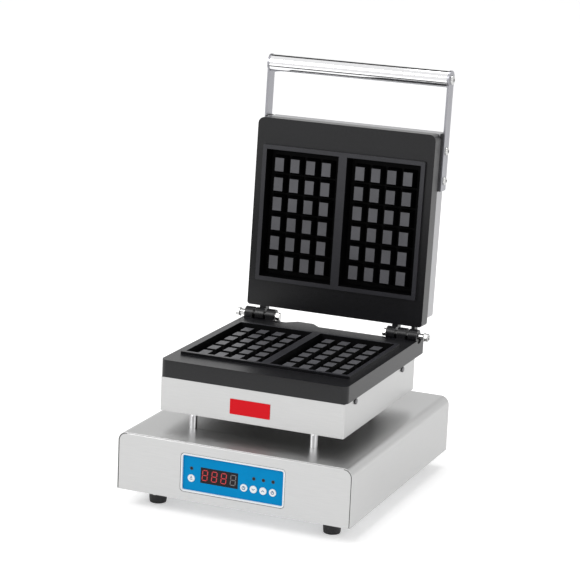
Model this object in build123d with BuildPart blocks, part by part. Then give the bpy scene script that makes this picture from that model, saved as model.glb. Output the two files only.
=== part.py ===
"""Commercial waffle maker with a tilting upper plate, on a control base.

X runs to the operator's right, Y to the back and Z up. The origin lies on the worktop, under the
middle of the machine's box with the lid open. Both baking plates are drawn in their own frame:
u across the plate, v away from the hinge axis, w out of the working face.
"""
import os
from math import atan, cos, degrees, radians, sin

from build123d import *

os.makedirs("parts", exist_ok=True)

# Control base
BASE_WIDTH = 324.0
BASE_DEPTH = 378.5
BASE_HEIGHT = 77.5
BASE_SHEET = 1.2
BASE_BEND = 12.0
BASE_FLANGE = 14.0
SHEET_GAP = 0.2
FRONT_EDGE_BEND = 1.0
CLOSING_SHEET = 1.2
FLOOR_SCREW_INSET = 52.0
FLOOR_SCREW_RADIUS = 2.0
FLOOR_SCREW_HEAD_RADIUS = 3.8
FLOOR_SCREW_HEAD = 2.0
FLOOR_SCREW_TIP = 3.0

# Rubber feet
FOOT_HEIGHT = 24.0
FOOT_TOP_RADIUS = 13.3
FOOT_TIP_RADIUS = 11.0
FOOT_INSET_X = 39.5
FOOT_INSET_Y = 42.5
FOOT_RECESS_RADIUS = 6.5
FOOT_RECESS_DEPTH = 14.0
FOOT_SCREW_RADIUS = 2.5
FOOT_SCREW_TIP = 1.0
FOOT_HEAD_RADIUS = 4.75
FOOT_HEAD_HEIGHT = 3.0
FOOT_NUT_FLATS = 8.0
FOOT_NUT_HEIGHT = 4.0

# Posts between the base and the heated body
POST_HEIGHT = 20.3
POST_RADIUS = 5.25
POST_THREAD_RADIUS = 4.0
POST_THREAD_LENGTH = 9.0
POST_BORE_RADIUS = 2.6
POST_SIDE_INSET = 43.6
POST_INSET = 10.5
POST_BACK_INSET = 36.5
POST_NUT_FLATS = 13.0
POST_NUT_HEIGHT = 6.0

# Stainless body under the lower plate
BODY_WIDTH = 256.2
BODY_DEPTH = 268.2
BODY_HEIGHT = 45.1
BODY_SETBACK = 51.4
BODY_SHEET = 1.2
BODY_FLANGE = 24.0
BODY_CORNER = 2.0
POST_HALF_SPREAD = BODY_WIDTH / 2 - POST_SIDE_INSET

# Baking plates
PLATE_OVERHANG = 1.9
PLATE_WIDTH = BODY_WIDTH + 2 * PLATE_OVERHANG
PLATE_THICK = 23.0
PLATE_REACH = 276.4
PLATE_CORNER = 9.0
PLATE_NEAR_CORNER = 4.0
LID_EDGE = 11.5
LOWER_EDGE = 8.3
FACE_DROP = 4.5
RIM_SIDE_MARGIN = 11.0
RIM_NEAR = 48.5
RIM_FAR_MARGIN = 37.1
RIM_WIDTH = PLATE_WIDTH - 2 * RIM_SIDE_MARGIN
RIM_LENGTH = PLATE_REACH - RIM_FAR_MARGIN - RIM_NEAR
RIM_MIDDLE = RIM_NEAR + RIM_LENGTH / 2
RIM_HEIGHT = 3.8
RIM_LAND = 5.8
RIM_CORNER = 2.0
WELL_DIVIDER = 12.0
WELL_DEPTH = 12.0
WELL_DRAFT = 10.0
BLOCK_COLUMNS = 4
BLOCK_ROWS = 6
COLUMN_END_MARGIN = 18.8
ROW_END_MARGIN = 20.85
WELL_WIDTH = (RIM_WIDTH - WELL_DIVIDER) / 2 - RIM_LAND
WELL_LENGTH = RIM_LENGTH - 2 * RIM_LAND
COLUMN_PITCH = (WELL_WIDTH - 2 * COLUMN_END_MARGIN) / (BLOCK_COLUMNS - 1)
ROW_PITCH = (WELL_LENGTH - 2 * ROW_END_MARGIN) / (BLOCK_ROWS - 1)
BLOCK_TOP_WIDTH = 12.9
BLOCK_TOP_LENGTH = 18.6
BLOCK_FLARE = 3.35
BLOCK_PROUD = 0.3
REAR_LUG_REACH = 25.5
TAB_MIDDLE = 40.0
TAB_HALF_TIP = 11.5
TAB_HALF_ROOT = 26.0
TAB_REACH = 13.0
TAB_THICK = 12.0
TAB_OVERLAP = 1.0

# Hinge
AXIS_SETBACK = 328.1
OPEN_ANGLE = 93.2
HINGE_SIDE_INSET = 24.25
HINGE_MIDDLE = PLATE_WIDTH / 2 - HINGE_SIDE_INSET
KNUCKLE_PITCH = 16.0
KNUCKLE_WIDTH = 12.5
KNUCKLE_RADIUS = 9.25
KNUCKLE_CLEARANCE = 0.6
PIN_RADIUS = 4.0
PIN_FIT = 0.02
PIN_RUNNING = 0.05
PIN_END_RADIUS = 3.0
COLLAR_RADIUS = 4.4
COLLAR_LENGTH = 8.4
PIN_HEAD_LENGTH = 5.5
PIN_HEAD_FLATS = 10.0
PIN_NUT_LENGTH = 5.5
PIN_TIP = 1.8
WASHER_RADIUS = 6.5
WASHER_THICK = 1.2
HEEL_REACH = 17.0
LEFT_ARM_WIDTH = 9.5
INNER_ARM_WIDTH = 8.5
OUTER_ARM_WIDTH = 5.0
HEEL_GAP = 0.1

# Heating elements under and over the plates
ELEMENT_RADIUS = 4.0
ELEMENT_RUNS = 4
ELEMENT_SIDE_MARGIN = 17.0
ELEMENT_NEAR = 55.0
ELEMENT_FAR_MARGIN = 39.0
ELEMENT_TAIL = 14.0
ELEMENT_TAIL_RADIUS = 2.0
ELEMENT_GAP = 0.1
HEATER_SIDE_MARGIN = 23.0
HEATER_PLATE_NEAR = 45.0
HEATER_FAR_MARGIN = 22.4
HEATER_PLATE_WIDTH = PLATE_WIDTH - 2 * HEATER_SIDE_MARGIN
HEATER_PLATE_FAR = PLATE_REACH - HEATER_FAR_MARGIN
ELEMENT_PITCH = (HEATER_PLATE_WIDTH - 2 * ELEMENT_SIDE_MARGIN) / (ELEMENT_RUNS - 1)
ELEMENT_FAR = HEATER_PLATE_FAR - ELEMENT_FAR_MARGIN
HEATER_SHEET = 1.5
BLANKET_THICK = 12.0
SHIELD_SHEET = 0.8
BOSS_RADIUS = 7.0
BOSS_PITCH_U = ELEMENT_PITCH
BOSS_PITCH_V = 90.0
HEATER_SCREW_RADIUS = 2.5
HEATER_HEAD_RADIUS = 4.75
HEATER_HEAD_LENGTH = 3.0
HEATER_THREAD = 6.0
WINDOW_WIDTH = 32.0
WINDOW_LENGTH = 52.0
WINDOW_CORNER = 4.0
CUTOUT_RADIUS = 8.0
CUTOUT_HEIGHT = 8.0
BLADE_THICK = 0.8
BLADE_WIDTH = 6.3
CUTOUT_FORWARD = 11.0
PROBE_BACK = 13.0
PROBE_RADIUS = 3.0
PROBE_DEPTH = 7.0
PROBE_FLATS = 10.0
PROBE_HEAD = 5.0

# Stainless cover of the lid
COVER_INSET = 2.0
COVER_WIDTH = PLATE_WIDTH - 2 * COVER_INSET
COVER_NEAR = 19.5
COVER_HEIGHT = 31.8
COVER_SHEET = 1.2
COVER_BEND = 3.0

# Lid handle
BAR_REACH = 349.0
BAR_OUT = 43.6
BAR_RADIUS = 12.5
BAR_WALL = 2.0
PAD_THICK = 2.4
PAD_END = 197.0
PAD_FRONT_OUT = 29.2
ARM_THICK = 3.0
ARM_WIDTH = 20.5
ARM_HEAD_RADIUS = 13.0
ARM_SCREW_REACH = (211.0, 252.0)
ARM_SCREW_RADIUS = 3.0
ARM_HEAD_SCREW_RADIUS = 5.75
ARM_HEAD_SCREW_HEIGHT = 3.2
ARM_SCREW_DEPTH = 8.0
SCREW_LUG_WIDTH = 18.0
SCREW_LUG_DEPTH = 12.0
PLUG_LENGTH = 14.0
PLUG_FIT = 0.1
BAR_SCREW_RADIUS = 4.0
BAR_SCREW_DEPTH = 12.0
BAR_SCREW_HEAD_RADIUS = 6.5
BAR_SCREW_HEAD_HEIGHT = 3.2

# Side screws that hold the body to the lower plate
SIDE_SCREW_DROP = 4.3
SIDE_SCREW_REACH = (61.5, 239.3)
SIDE_SCREW_RADIUS = 2.0
SIDE_HEAD_RADIUS = 4.0
SIDE_HEAD_HEIGHT = 2.2
SIDE_SCREW_DEPTH = 7.0
SIDE_LUG_LENGTH = 16.0
SIDE_LUG_DROP = 9.0

# Control panel, measured from the top left corner of its opening
PANEL_WIDTH = 145.0
PANEL_HEIGHT = 52.0
PANEL_TOP = 87.0
PANEL_CORNER = 5.0
PANEL_RECESS = 3.0
PANEL_BORDER = 2.5
CARRIER_LIP = 10.5
CARRIER_LIP_TOP = 7.0
CARRIER_THICK = 3.0
OVERLAY_THICK = 0.4
STUD_RADIUS = 1.5
STUD_LENGTH = 9.0
STUD_RISE = 20.0
STUD_MARGIN = 5.5
STUD_NUT_FLATS = 5.5
STUD_NUT_HEIGHT = 2.4
WINDOW_LEFT = 27.5
WINDOW_TOP = 16.5
DISPLAY_WIDTH = 52.0
DISPLAY_HEIGHT = 20.7
DISPLAY_LENS = 2.0
DISPLAY_LEDGE = 2.0
LENS_GAP = 0.1
MODE_LEFT = 14.7
MODE_DROP = 33.0
KEY_LEFT = 88.0
KEY_DROP = 33.9
KEY_PITCH = 13.23
LAMP_DROP = 19.8
ROW_KEYS = ("key_timer", "key_down", "key_up", "key_power")
KEY_RADIUS = 4.9
KEY_GAP = 0.2
KEY_PROUD = 0.9
KEY_DISH = 0.3
KEY_FLANGE = 1.1
KEY_FLANGE_THICK = 1.0
KEY_STEM_RADIUS = 1.6
KEY_TRAVEL = 0.7
SEAT_GAP = 0.05
LAMP_RADIUS = 1.5
LAMP_PROUD = 0.5
LAMP_DOME = 0.9
LAMP_FLANGE_RADIUS = 1.9
LAMP_LEG = 0.5
LAMP_LEG_SPREAD = 1.27
BOARD_DEPTH = 14.2
BOARD_SHEET = 1.6
BOARD_MARGIN = 2.0
SWITCH_SIZE = 6.0
SWITCH_HEIGHT = 3.5
SWITCH_WELL = 2.2
MODULE_INSET = 1.0
PILLAR_RADIUS = 3.0
PILLAR_INSET_X = 8.0
PILLAR_INSET_Y = 5.0
BOARD_SCREW_RADIUS = 1.5
BOARD_SCREW_HEAD_RADIUS = 2.8
BOARD_SCREW_HEAD_HEIGHT = 1.8
BOARD_SCREW_THREAD = 5.0
BUZZER_RADIUS = 6.0
BUZZER_HEIGHT = 9.0
BUZZER_HOLE_RADIUS = 1.2
BUZZER_LEFT = 48.3

# Power supply on the floor of the base
POWER_BOARD_LENGTH = 120.0
POWER_BOARD_WIDTH = 84.0
POWER_BOARD_RISE = 8.0
POWER_BOARD_SIDE = 107.0
POWER_POST_INSET = 6.0
POWER_BOARD_Y = 40.0
TRANSFORMER_LENGTH = 44.0
TRANSFORMER_WIDTH = 36.0
TRANSFORMER_HEIGHT = 30.0
RELAY_LENGTH = 30.0
RELAY_WIDTH = 16.0
RELAY_PITCH = 25.6
RELAY_HEIGHT = 24.0
TERMINAL_POLES = 4
TERMINAL_PITCH = 14.0
TERMINAL_DEPTH = 24.0
TERMINAL_HEIGHT = 20.0
TERMINAL_SIDE = 72.0
TERMINAL_BACK = 72.0

# Rear wall
GLAND_SIDE = 57.0
GLAND_RISE = 30.0
GLAND_BORE_RADIUS = 4.5
GLAND_THREAD_RADIUS = 8.0
GLAND_HEX_FLATS = 22.0
GLAND_HEX_LENGTH = 5.0
GLAND_DOME_LENGTH = 12.0
GLAND_TIP_RADIUS = 8.0
GLAND_STEP = 1.0
GLAND_INSIDE = 11.0
GLAND_NUT_LENGTH = 4.0
EARTH_SIDE = 102.0
EARTH_RADIUS = 3.0
EARTH_OUTSIDE = 14.0
EARTH_INSIDE = 10.0
EARTH_NUT_FLATS = 10.0
EARTH_NUT_HEIGHT = 5.0
VENT_COUNT = 6
VENT_LENGTH = 46.0
VENT_WIDTH = 4.0
VENT_PITCH = 9.0
VENT_SIDE = 82.0

# Plate on the body's front and wire grommets
BADGE_WIDTH = 56.0
BADGE_HEIGHT = 20.3
BADGE_THICK = 0.8
BADGE_LEFT = 1.0
BADGE_RISE = 20.2
GROMMET_RADIUS = 8.0
GROMMET_BORE = 4.0
GROMMET_GROOVE = 1.2
GROMMET_LIP = 2.0
GROMMET_U = 20.0
GROMMET_OUT = 45.0

# Fits that are used throughout
BOLT_CLEARANCE = 0.05
HOLE_CLEARANCE = 0.2

# Heights and places that follow
FLOOR_Z = FOOT_HEIGHT + BASE_SHEET
FLOOR_TOP = FLOOR_Z + CLOSING_SHEET
BASE_TOP = FOOT_HEIGHT + BASE_HEIGHT
BODY_BOTTOM = BASE_TOP + POST_HEIGHT
PLATE_BOTTOM = BODY_BOTTOM + BODY_HEIGHT
AXIS_Z = PLATE_BOTTOM + PLATE_THICK + FACE_DROP
OPEN = radians(OPEN_ANGLE)
COVER_OUT = FACE_DROP + PLATE_THICK
KNUCKLE_INNER = HINGE_MIDDLE - KNUCKLE_PITCH - KNUCKLE_WIDTH / 2
KNUCKLE_OUTER = HINGE_MIDDLE + KNUCKLE_PITCH + KNUCKLE_WIDTH / 2
BACK_OF_COVER = PLATE_REACH * -cos(OPEN) + (COVER_OUT + COVER_HEIGHT) * sin(OPEN)
BACK_OF_HANDLE = BAR_REACH * -cos(OPEN) + BAR_OUT * sin(OPEN) + ARM_HEAD_RADIUS
OVERALL_DEPTH = AXIS_SETBACK + max(BACK_OF_COVER, BACK_OF_HANDLE)
BASE_FRONT = -OVERALL_DEPTH / 2
BASE_BACK = BASE_FRONT + BASE_DEPTH
AXIS_Y = BASE_FRONT + AXIS_SETBACK
BODY_FRONT = BASE_FRONT + BODY_SETBACK
BODY_BACK = BODY_FRONT + BODY_DEPTH
POWER_BOARD_X = POWER_BOARD_SIDE - BASE_WIDTH / 2
TERMINAL_X = BASE_WIDTH / 2 - TERMINAL_SIDE
GLAND_X = BASE_WIDTH / 2 - GLAND_SIDE
EARTH_X = BASE_WIDTH / 2 - EARTH_SIDE
VENT_X = VENT_SIDE - BASE_WIDTH / 2
KEY_CENTRES = {"key_mode": (MODE_LEFT, MODE_DROP)}
KEY_CENTRES.update({name: (KEY_LEFT + i * KEY_PITCH, KEY_DROP) for i, name in enumerate(ROW_KEYS)})
LAMP_CENTRES = [(MODE_LEFT, LAMP_DROP)] + [(KEY_LEFT + i * KEY_PITCH, LAMP_DROP) for i in (1, 2, 3)]

LOWER = Plane(origin=(0, AXIS_Y, AXIS_Z), x_dir=(-1, 0, 0), z_dir=(0, 0, 1))
LID = Plane(origin=(0, AXIS_Y, AXIS_Z), x_dir=(1, 0, 0), z_dir=(0, -sin(OPEN), -cos(OPEN)))


def save(builder, name):
    """Label one finished piece and write it under its own name."""
    builder.part.label = name
    export_step(builder.part, f"parts/{name}.step")


def across(plane, u):
    """The plane square to the hinge axis at u, with v along it and w up it."""
    return Plane(origin=plane.origin + plane.x_dir * u, x_dir=plane.y_dir, z_dir=plane.x_dir)


def behind_front(depth):
    """A plane behind the base's front, x to the right, y down and its normal to the back."""
    return Plane(origin=(-PANEL_WIDTH / 2, BASE_FRONT + depth, PANEL_TOP), x_dir=(1, 0, 0), z_dir=(0, 1, 0))


def from_back(y, x=0.0, z=0.0):
    """A plane on a rear wall, with its normal to the back and its own x to the left."""
    return Plane(origin=(x, y, z), x_dir=(-1, 0, 0), z_dir=(0, 1, 0))


# Control base: a wrap for the sides and the top
INNER_HALF = BASE_WIDTH / 2 - BASE_SHEET
INNER_BEND = BASE_BEND - BASE_SHEET

with BuildPart() as base_shell:
    with BuildSketch(from_back(BASE_FRONT)):
        with Locations((0, FOOT_HEIGHT + BASE_HEIGHT / 2)):
            outline = Rectangle(BASE_WIDTH, BASE_HEIGHT)
        fillet(outline.vertices().group_by(Axis.Y)[-1], BASE_BEND)
    extrude(amount=BASE_DEPTH)
    with BuildSketch(from_back(BASE_FRONT)):
        with Locations((0, FLOOR_Z + (BASE_HEIGHT - 2 * BASE_SHEET) / 2)):
            hollow = Rectangle(2 * INNER_HALF, BASE_HEIGHT - 2 * BASE_SHEET)
        fillet(hollow.vertices().group_by(Axis.Y)[-1], INNER_BEND)
        with Locations((0, FOOT_HEIGHT + BASE_SHEET / 2)):
            Rectangle(2 * (INNER_HALF - BASE_FLANGE), BASE_SHEET + SHEET_GAP)
    extrude(amount=BASE_DEPTH, mode=Mode.SUBTRACT)
    # The floor flanges stop short of the end walls' own flanges.
    for end in (BASE_FRONT, BASE_BACK):
        with BuildSketch(Plane.XY.offset(FOOT_HEIGHT)):
            with Locations((0, end)):
                Rectangle(2 * INNER_HALF, 2 * (BASE_FLANGE + SHEET_GAP))
        extrude(amount=BASE_SHEET, mode=Mode.SUBTRACT)
    with BuildSketch(Plane.XY.offset(BASE_TOP)):
        with Locations((0, BODY_FRONT + POST_INSET), (0, BODY_BACK - POST_BACK_INSET)):
            with GridLocations(2 * POST_HALF_SPREAD, 1, 2, 1):
                Circle(POST_THREAD_RADIUS + HOLE_CLEARANCE)
    extrude(amount=-2 * BASE_SHEET, mode=Mode.SUBTRACT)
save(base_shell, "base_shell")

FEET = [
    (side * (BASE_WIDTH / 2 - FOOT_INSET_X), y)
    for side in (-1, 1)
    for y in (BASE_FRONT + FOOT_INSET_Y, BASE_BACK - FOOT_INSET_Y)
]
POSTS = [
    (side * POST_HALF_SPREAD, y)
    for side in (-1, 1)
    for y in (BODY_FRONT + POST_INSET, BODY_BACK - POST_BACK_INSET)
]
WALL_HALF = INNER_HALF - SHEET_GAP
WALL_TOP = BASE_TOP - BASE_SHEET - SHEET_GAP
FLOOR_SCREWS_X = (-BASE_WIDTH / 2 + FLOOR_SCREW_INSET, BASE_WIDTH / 2 - FLOOR_SCREW_INSET)
FLOOR_SCREWS_Y = (BASE_FRONT + BASE_FLANGE / 2, BASE_BACK - BASE_FLANGE / 2)


def end_wall(face_y, inward):
    """A folded end wall: a flat face with a flange all round that runs into the base."""
    height = WALL_TOP - FOOT_HEIGHT
    face = Plane(origin=(0, face_y, 0), x_dir=(-inward, 0, 0), z_dir=(0, inward, 0))
    with BuildPart() as wall:
        with BuildSketch(face):
            with Locations((0, FOOT_HEIGHT + height / 2)):
                outline = Rectangle(2 * WALL_HALF, height)
            fillet(outline.vertices().group_by(Axis.Y)[-1], INNER_BEND - SHEET_GAP)
        extrude(amount=BASE_FLANGE)
        front_edges = wall.faces().sort_by(Axis.Y)[0 if inward > 0 else -1].edges()
        fillet(front_edges.filter_by(lambda e: e.center().Z > FLOOR_Z), FRONT_EDGE_BEND)
        with BuildSketch(face.offset(BASE_SHEET)):
            with Locations((0, FLOOR_Z + (height - 2 * BASE_SHEET) / 2)):
                hollow = Rectangle(2 * (WALL_HALF - BASE_SHEET), height - 2 * BASE_SHEET)
            fillet(hollow.vertices().group_by(Axis.Y)[-1], INNER_BEND - SHEET_GAP - BASE_SHEET)
        extrude(amount=BASE_FLANGE, mode=Mode.SUBTRACT)
        with BuildSketch(Plane.XY.offset(FOOT_HEIGHT)):
            with Locations(*[(x, face_y + inward * BASE_FLANGE / 2) for x in FLOOR_SCREWS_X]):
                Circle(FLOOR_SCREW_RADIUS + BOLT_CLEARANCE)
        extrude(amount=BASE_SHEET, mode=Mode.SUBTRACT)
    return wall.part


PANEL_MIDDLE = (PANEL_WIDTH / 2, PANEL_HEIGHT / 2)
LIP_BACK = PANEL_RECESS
STUDS_X = (-STUD_MARGIN, PANEL_WIDTH + STUD_MARGIN)
STUDS = [(x, PANEL_HEIGHT / 2 + side * STUD_RISE) for x in STUDS_X for side in (-1, 1)]

with BuildPart() as base_front_wall:
    add(end_wall(BASE_FRONT, 1))
    with BuildSketch(behind_front(0)):
        with Locations(PANEL_MIDDLE):
            RectangleRounded(PANEL_WIDTH + 2 * BASE_SHEET, PANEL_HEIGHT + 2 * BASE_SHEET,
                             PANEL_CORNER + BASE_SHEET)
    extrude(amount=LIP_BACK)
    with BuildSketch(behind_front(0)):
        with Locations(PANEL_MIDDLE):
            RectangleRounded(PANEL_WIDTH, PANEL_HEIGHT, PANEL_CORNER)
    extrude(amount=LIP_BACK, mode=Mode.SUBTRACT)
    with BuildSketch(behind_front(BASE_SHEET)):
        with Locations(*STUDS):
            Circle(STUD_RADIUS)
    extrude(amount=STUD_LENGTH)
save(base_front_wall, "base_front_wall")

GLAND_Z = FOOT_HEIGHT + GLAND_RISE
with BuildPart() as base_rear_wall:
    add(end_wall(BASE_BACK, -1))
    with BuildSketch(from_back(BASE_BACK - BASE_SHEET)):
        with Locations((-GLAND_X, GLAND_Z)):
            Circle(GLAND_THREAD_RADIUS + HOLE_CLEARANCE)
        with Locations((-EARTH_X, GLAND_Z)):
            Circle(EARTH_RADIUS + HOLE_CLEARANCE)
        with Locations((-VENT_X, FOOT_HEIGHT + BASE_HEIGHT / 2)):
            with GridLocations(1, VENT_PITCH, 1, VENT_COUNT):
                SlotOverall(VENT_LENGTH, VENT_WIDTH)
    extrude(amount=BASE_SHEET, mode=Mode.SUBTRACT)
save(base_rear_wall, "base_rear_wall")

FLOOR_HALF = WALL_HALF - BASE_SHEET - SHEET_GAP
FLOOR_LENGTH = BASE_DEPTH - 2 * (BASE_SHEET + SHEET_GAP)
POWER_POSTS = (POWER_BOARD_LENGTH - 2 * POWER_POST_INSET, POWER_BOARD_WIDTH - 2 * POWER_POST_INSET)
POWER_PLACE = (POWER_BOARD_X, POWER_BOARD_Y)

with BuildPart() as base_floor:
    with BuildSketch(Plane.XY.offset(FLOOR_Z)):
        with Locations((0, (BASE_FRONT + BASE_BACK) / 2)):
            Rectangle(2 * FLOOR_HALF, FLOOR_LENGTH)
        with Locations(*FEET):
            Circle(FOOT_SCREW_RADIUS + BOLT_CLEARANCE, mode=Mode.SUBTRACT)
        with Locations(*[(x, y) for x in FLOOR_SCREWS_X for y in FLOOR_SCREWS_Y]):
            Circle(FLOOR_SCREW_RADIUS + BOLT_CLEARANCE, mode=Mode.SUBTRACT)
    extrude(amount=CLOSING_SHEET)
save(base_floor, "base_floor")

with BuildPart() as floor_screws:
    with BuildSketch(Plane.XY.offset(FOOT_HEIGHT)):
        with Locations(*[(x, y) for x in FLOOR_SCREWS_X for y in FLOOR_SCREWS_Y]):
            Circle(FLOOR_SCREW_HEAD_RADIUS)
    extrude(amount=-FLOOR_SCREW_HEAD)
    chamfer(floor_screws.edges().group_by(Axis.Z)[0], FLOOR_SCREW_HEAD / 3)
    with BuildSketch(Plane.XY.offset(FOOT_HEIGHT)):
        with Locations(*[(x, y) for x in FLOOR_SCREWS_X for y in FLOOR_SCREWS_Y]):
            Circle(FLOOR_SCREW_RADIUS)
    extrude(amount=BASE_SHEET + CLOSING_SHEET + FLOOR_SCREW_TIP)
save(floor_screws, "floor_screws")

# Feet, each held by a screw from below and a nut on the floor sheet
with BuildPart() as rubber_feet:
    for x, y in FEET:
        with BuildSketch(Plane.XY):
            with Locations((x, y)):
                Circle(FOOT_TIP_RADIUS)
        with BuildSketch(Plane.XY.offset(FLOOR_Z)):
            with Locations((x, y)):
                Circle(FOOT_TOP_RADIUS)
        loft()
        with BuildSketch(Plane.XY):
            with Locations((x, y)):
                Circle(FOOT_RECESS_RADIUS)
        extrude(amount=FOOT_RECESS_DEPTH, mode=Mode.SUBTRACT)
        with BuildSketch(Plane.XY.offset(FOOT_RECESS_DEPTH)):
            with Locations((x, y)):
                Circle(FOOT_SCREW_RADIUS + BOLT_CLEARANCE)
        extrude(amount=FLOOR_Z - FOOT_RECESS_DEPTH, mode=Mode.SUBTRACT)
save(rubber_feet, "rubber_feet")

with BuildPart() as foot_bolts:
    with BuildSketch(Plane.XY.offset(FOOT_RECESS_DEPTH)):
        with Locations(*FEET):
            Circle(FOOT_HEAD_RADIUS)
    extrude(amount=-FOOT_HEAD_HEIGHT)
    with BuildSketch(Plane.XY.offset(FOOT_RECESS_DEPTH)):
        with Locations(*FEET):
            Circle(FOOT_SCREW_RADIUS)
    extrude(amount=FLOOR_TOP + FOOT_NUT_HEIGHT + FOOT_SCREW_TIP - FOOT_RECESS_DEPTH)
    with BuildSketch(Plane.XY.offset(FLOOR_TOP)):
        with Locations(*FEET):
            RegularPolygon(FOOT_NUT_FLATS / 2, 6, major_radius=False)
            Circle(FOOT_SCREW_RADIUS + BOLT_CLEARANCE, mode=Mode.SUBTRACT)
    extrude(amount=FOOT_NUT_HEIGHT)
save(foot_bolts, "foot_bolts")

# Control panel
CARRIER_FRONT = PANEL_RECESS
CARRIER_BACK = CARRIER_FRONT + CARRIER_THICK
OVERLAY_FRONT = CARRIER_FRONT - OVERLAY_THICK
DISPLAY_MIDDLE = (WINDOW_LEFT + DISPLAY_WIDTH / 2, WINDOW_TOP + DISPLAY_HEIGHT / 2)
KEYS = list(KEY_CENTRES.values())
KEY_HOLE_RADIUS = KEY_RADIUS + KEY_GAP
LAMP_HOLE_RADIUS = LAMP_RADIUS + BOLT_CLEARANCE
LENS_BACK = OVERLAY_FRONT + DISPLAY_LENS

with BuildPart() as panel_carrier:
    with BuildSketch(behind_front(CARRIER_FRONT)):
        with Locations(PANEL_MIDDLE):
            RectangleRounded(PANEL_WIDTH + 2 * CARRIER_LIP, PANEL_HEIGHT + 2 * CARRIER_LIP_TOP,
                             PANEL_CORNER)
        with Locations(*STUDS):
            Circle(STUD_RADIUS + BOLT_CLEARANCE, mode=Mode.SUBTRACT)
        with Locations(*KEYS):
            Circle(KEY_HOLE_RADIUS, mode=Mode.SUBTRACT)
        with Locations(*LAMP_CENTRES):
            Circle(LAMP_HOLE_RADIUS, mode=Mode.SUBTRACT)
        with Locations(DISPLAY_MIDDLE):
            Rectangle(DISPLAY_WIDTH - 2 * DISPLAY_LEDGE, DISPLAY_HEIGHT - 2 * DISPLAY_LEDGE,
                      mode=Mode.SUBTRACT)
    extrude(amount=CARRIER_THICK)
    with BuildSketch(behind_front(CARRIER_FRONT)):
        with Locations(DISPLAY_MIDDLE):
            Rectangle(DISPLAY_WIDTH + 2 * LENS_GAP, DISPLAY_HEIGHT + 2 * LENS_GAP)
    extrude(amount=LENS_BACK - CARRIER_FRONT, mode=Mode.SUBTRACT)
save(panel_carrier, "panel_carrier")

with BuildPart() as panel_overlay:
    with BuildSketch(behind_front(OVERLAY_FRONT)):
        with Locations(PANEL_MIDDLE):
            RectangleRounded(PANEL_WIDTH - 2 * PANEL_BORDER, PANEL_HEIGHT - 2 * PANEL_BORDER,
                             PANEL_CORNER - PANEL_BORDER)
        with Locations(*KEYS):
            Circle(KEY_HOLE_RADIUS, mode=Mode.SUBTRACT)
        with Locations(*LAMP_CENTRES):
            Circle(LAMP_HOLE_RADIUS, mode=Mode.SUBTRACT)
        with Locations(DISPLAY_MIDDLE):
            Rectangle(DISPLAY_WIDTH + 2 * LENS_GAP, DISPLAY_HEIGHT + 2 * LENS_GAP, mode=Mode.SUBTRACT)
    extrude(amount=OVERLAY_THICK)
save(panel_overlay, "panel_overlay")

with BuildPart() as display_window:
    with BuildSketch(behind_front(OVERLAY_FRONT)):
        with Locations(DISPLAY_MIDDLE):
            Rectangle(DISPLAY_WIDTH, DISPLAY_HEIGHT)
    extrude(amount=DISPLAY_LENS)
save(display_window, "display_window")

with BuildPart() as display_module:
    with BuildSketch(behind_front(CARRIER_BACK + SEAT_GAP)):
        with Locations(DISPLAY_MIDDLE):
            Rectangle(DISPLAY_WIDTH - MODULE_INSET, DISPLAY_HEIGHT - MODULE_INSET)
    extrude(amount=BOARD_DEPTH - CARRIER_BACK - SEAT_GAP)
save(display_module, "display_module")

# Keys: a dished cap, a flange behind the carrier and a stem into the switch
SWITCH_FRONT = BOARD_DEPTH - SWITCH_HEIGHT
STEM_TIP = SWITCH_FRONT + SWITCH_WELL - KEY_TRAVEL - SEAT_GAP
for key_name, key_centre in KEY_CENTRES.items():
    with BuildPart() as key:
        with BuildSketch(behind_front(OVERLAY_FRONT - KEY_PROUD)):
            with Locations(key_centre):
                Circle(KEY_RADIUS)
        extrude(amount=CARRIER_BACK + SEAT_GAP + KEY_FLANGE_THICK - OVERLAY_FRONT + KEY_PROUD)
        chamfer(key.edges().group_by(Axis.Y)[0], KEY_DISH)
        with BuildSketch(behind_front(CARRIER_BACK + SEAT_GAP)):
            with Locations(key_centre):
                Circle(KEY_RADIUS + KEY_FLANGE)
        extrude(amount=KEY_FLANGE_THICK)
        with BuildSketch(behind_front(CARRIER_BACK + SEAT_GAP)):
            with Locations(key_centre):
                Circle(KEY_STEM_RADIUS)
        extrude(amount=STEM_TIP - CARRIER_BACK - SEAT_GAP)
    save(key, key_name)

with BuildPart() as key_switches:
    with BuildSketch(behind_front(SWITCH_FRONT)):
        with Locations(*KEYS):
            Rectangle(SWITCH_SIZE, SWITCH_SIZE)
    extrude(amount=SWITCH_HEIGHT)
    with BuildSketch(behind_front(SWITCH_FRONT)):
        with Locations(*KEYS):
            Circle(KEY_STEM_RADIUS + KEY_GAP)
    extrude(amount=SWITCH_WELL, mode=Mode.SUBTRACT)
save(key_switches, "key_switches")

LAMP_FRONT = OVERLAY_FRONT - LAMP_PROUD
with BuildPart() as indicator_lamps:
    with BuildSketch(behind_front(LAMP_FRONT)):
        with Locations(*LAMP_CENTRES):
            Circle(LAMP_RADIUS)
    extrude(amount=CARRIER_BACK + LAMP_PROUD - OVERLAY_FRONT)
    fillet(indicator_lamps.edges().group_by(Axis.Y)[0], LAMP_DOME)
    with BuildSketch(behind_front(CARRIER_BACK)):
        with Locations(*LAMP_CENTRES):
            Circle(LAMP_FLANGE_RADIUS)
    extrude(amount=KEY_FLANGE_THICK)
    with BuildSketch(behind_front(CARRIER_BACK)):
        with Locations(*LAMP_CENTRES):
            with GridLocations(2 * LAMP_LEG_SPREAD, 1, 2, 1):
                Rectangle(LAMP_LEG, LAMP_LEG)
    extrude(amount=BOARD_DEPTH - CARRIER_BACK)
save(indicator_lamps, "indicator_lamps")

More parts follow.
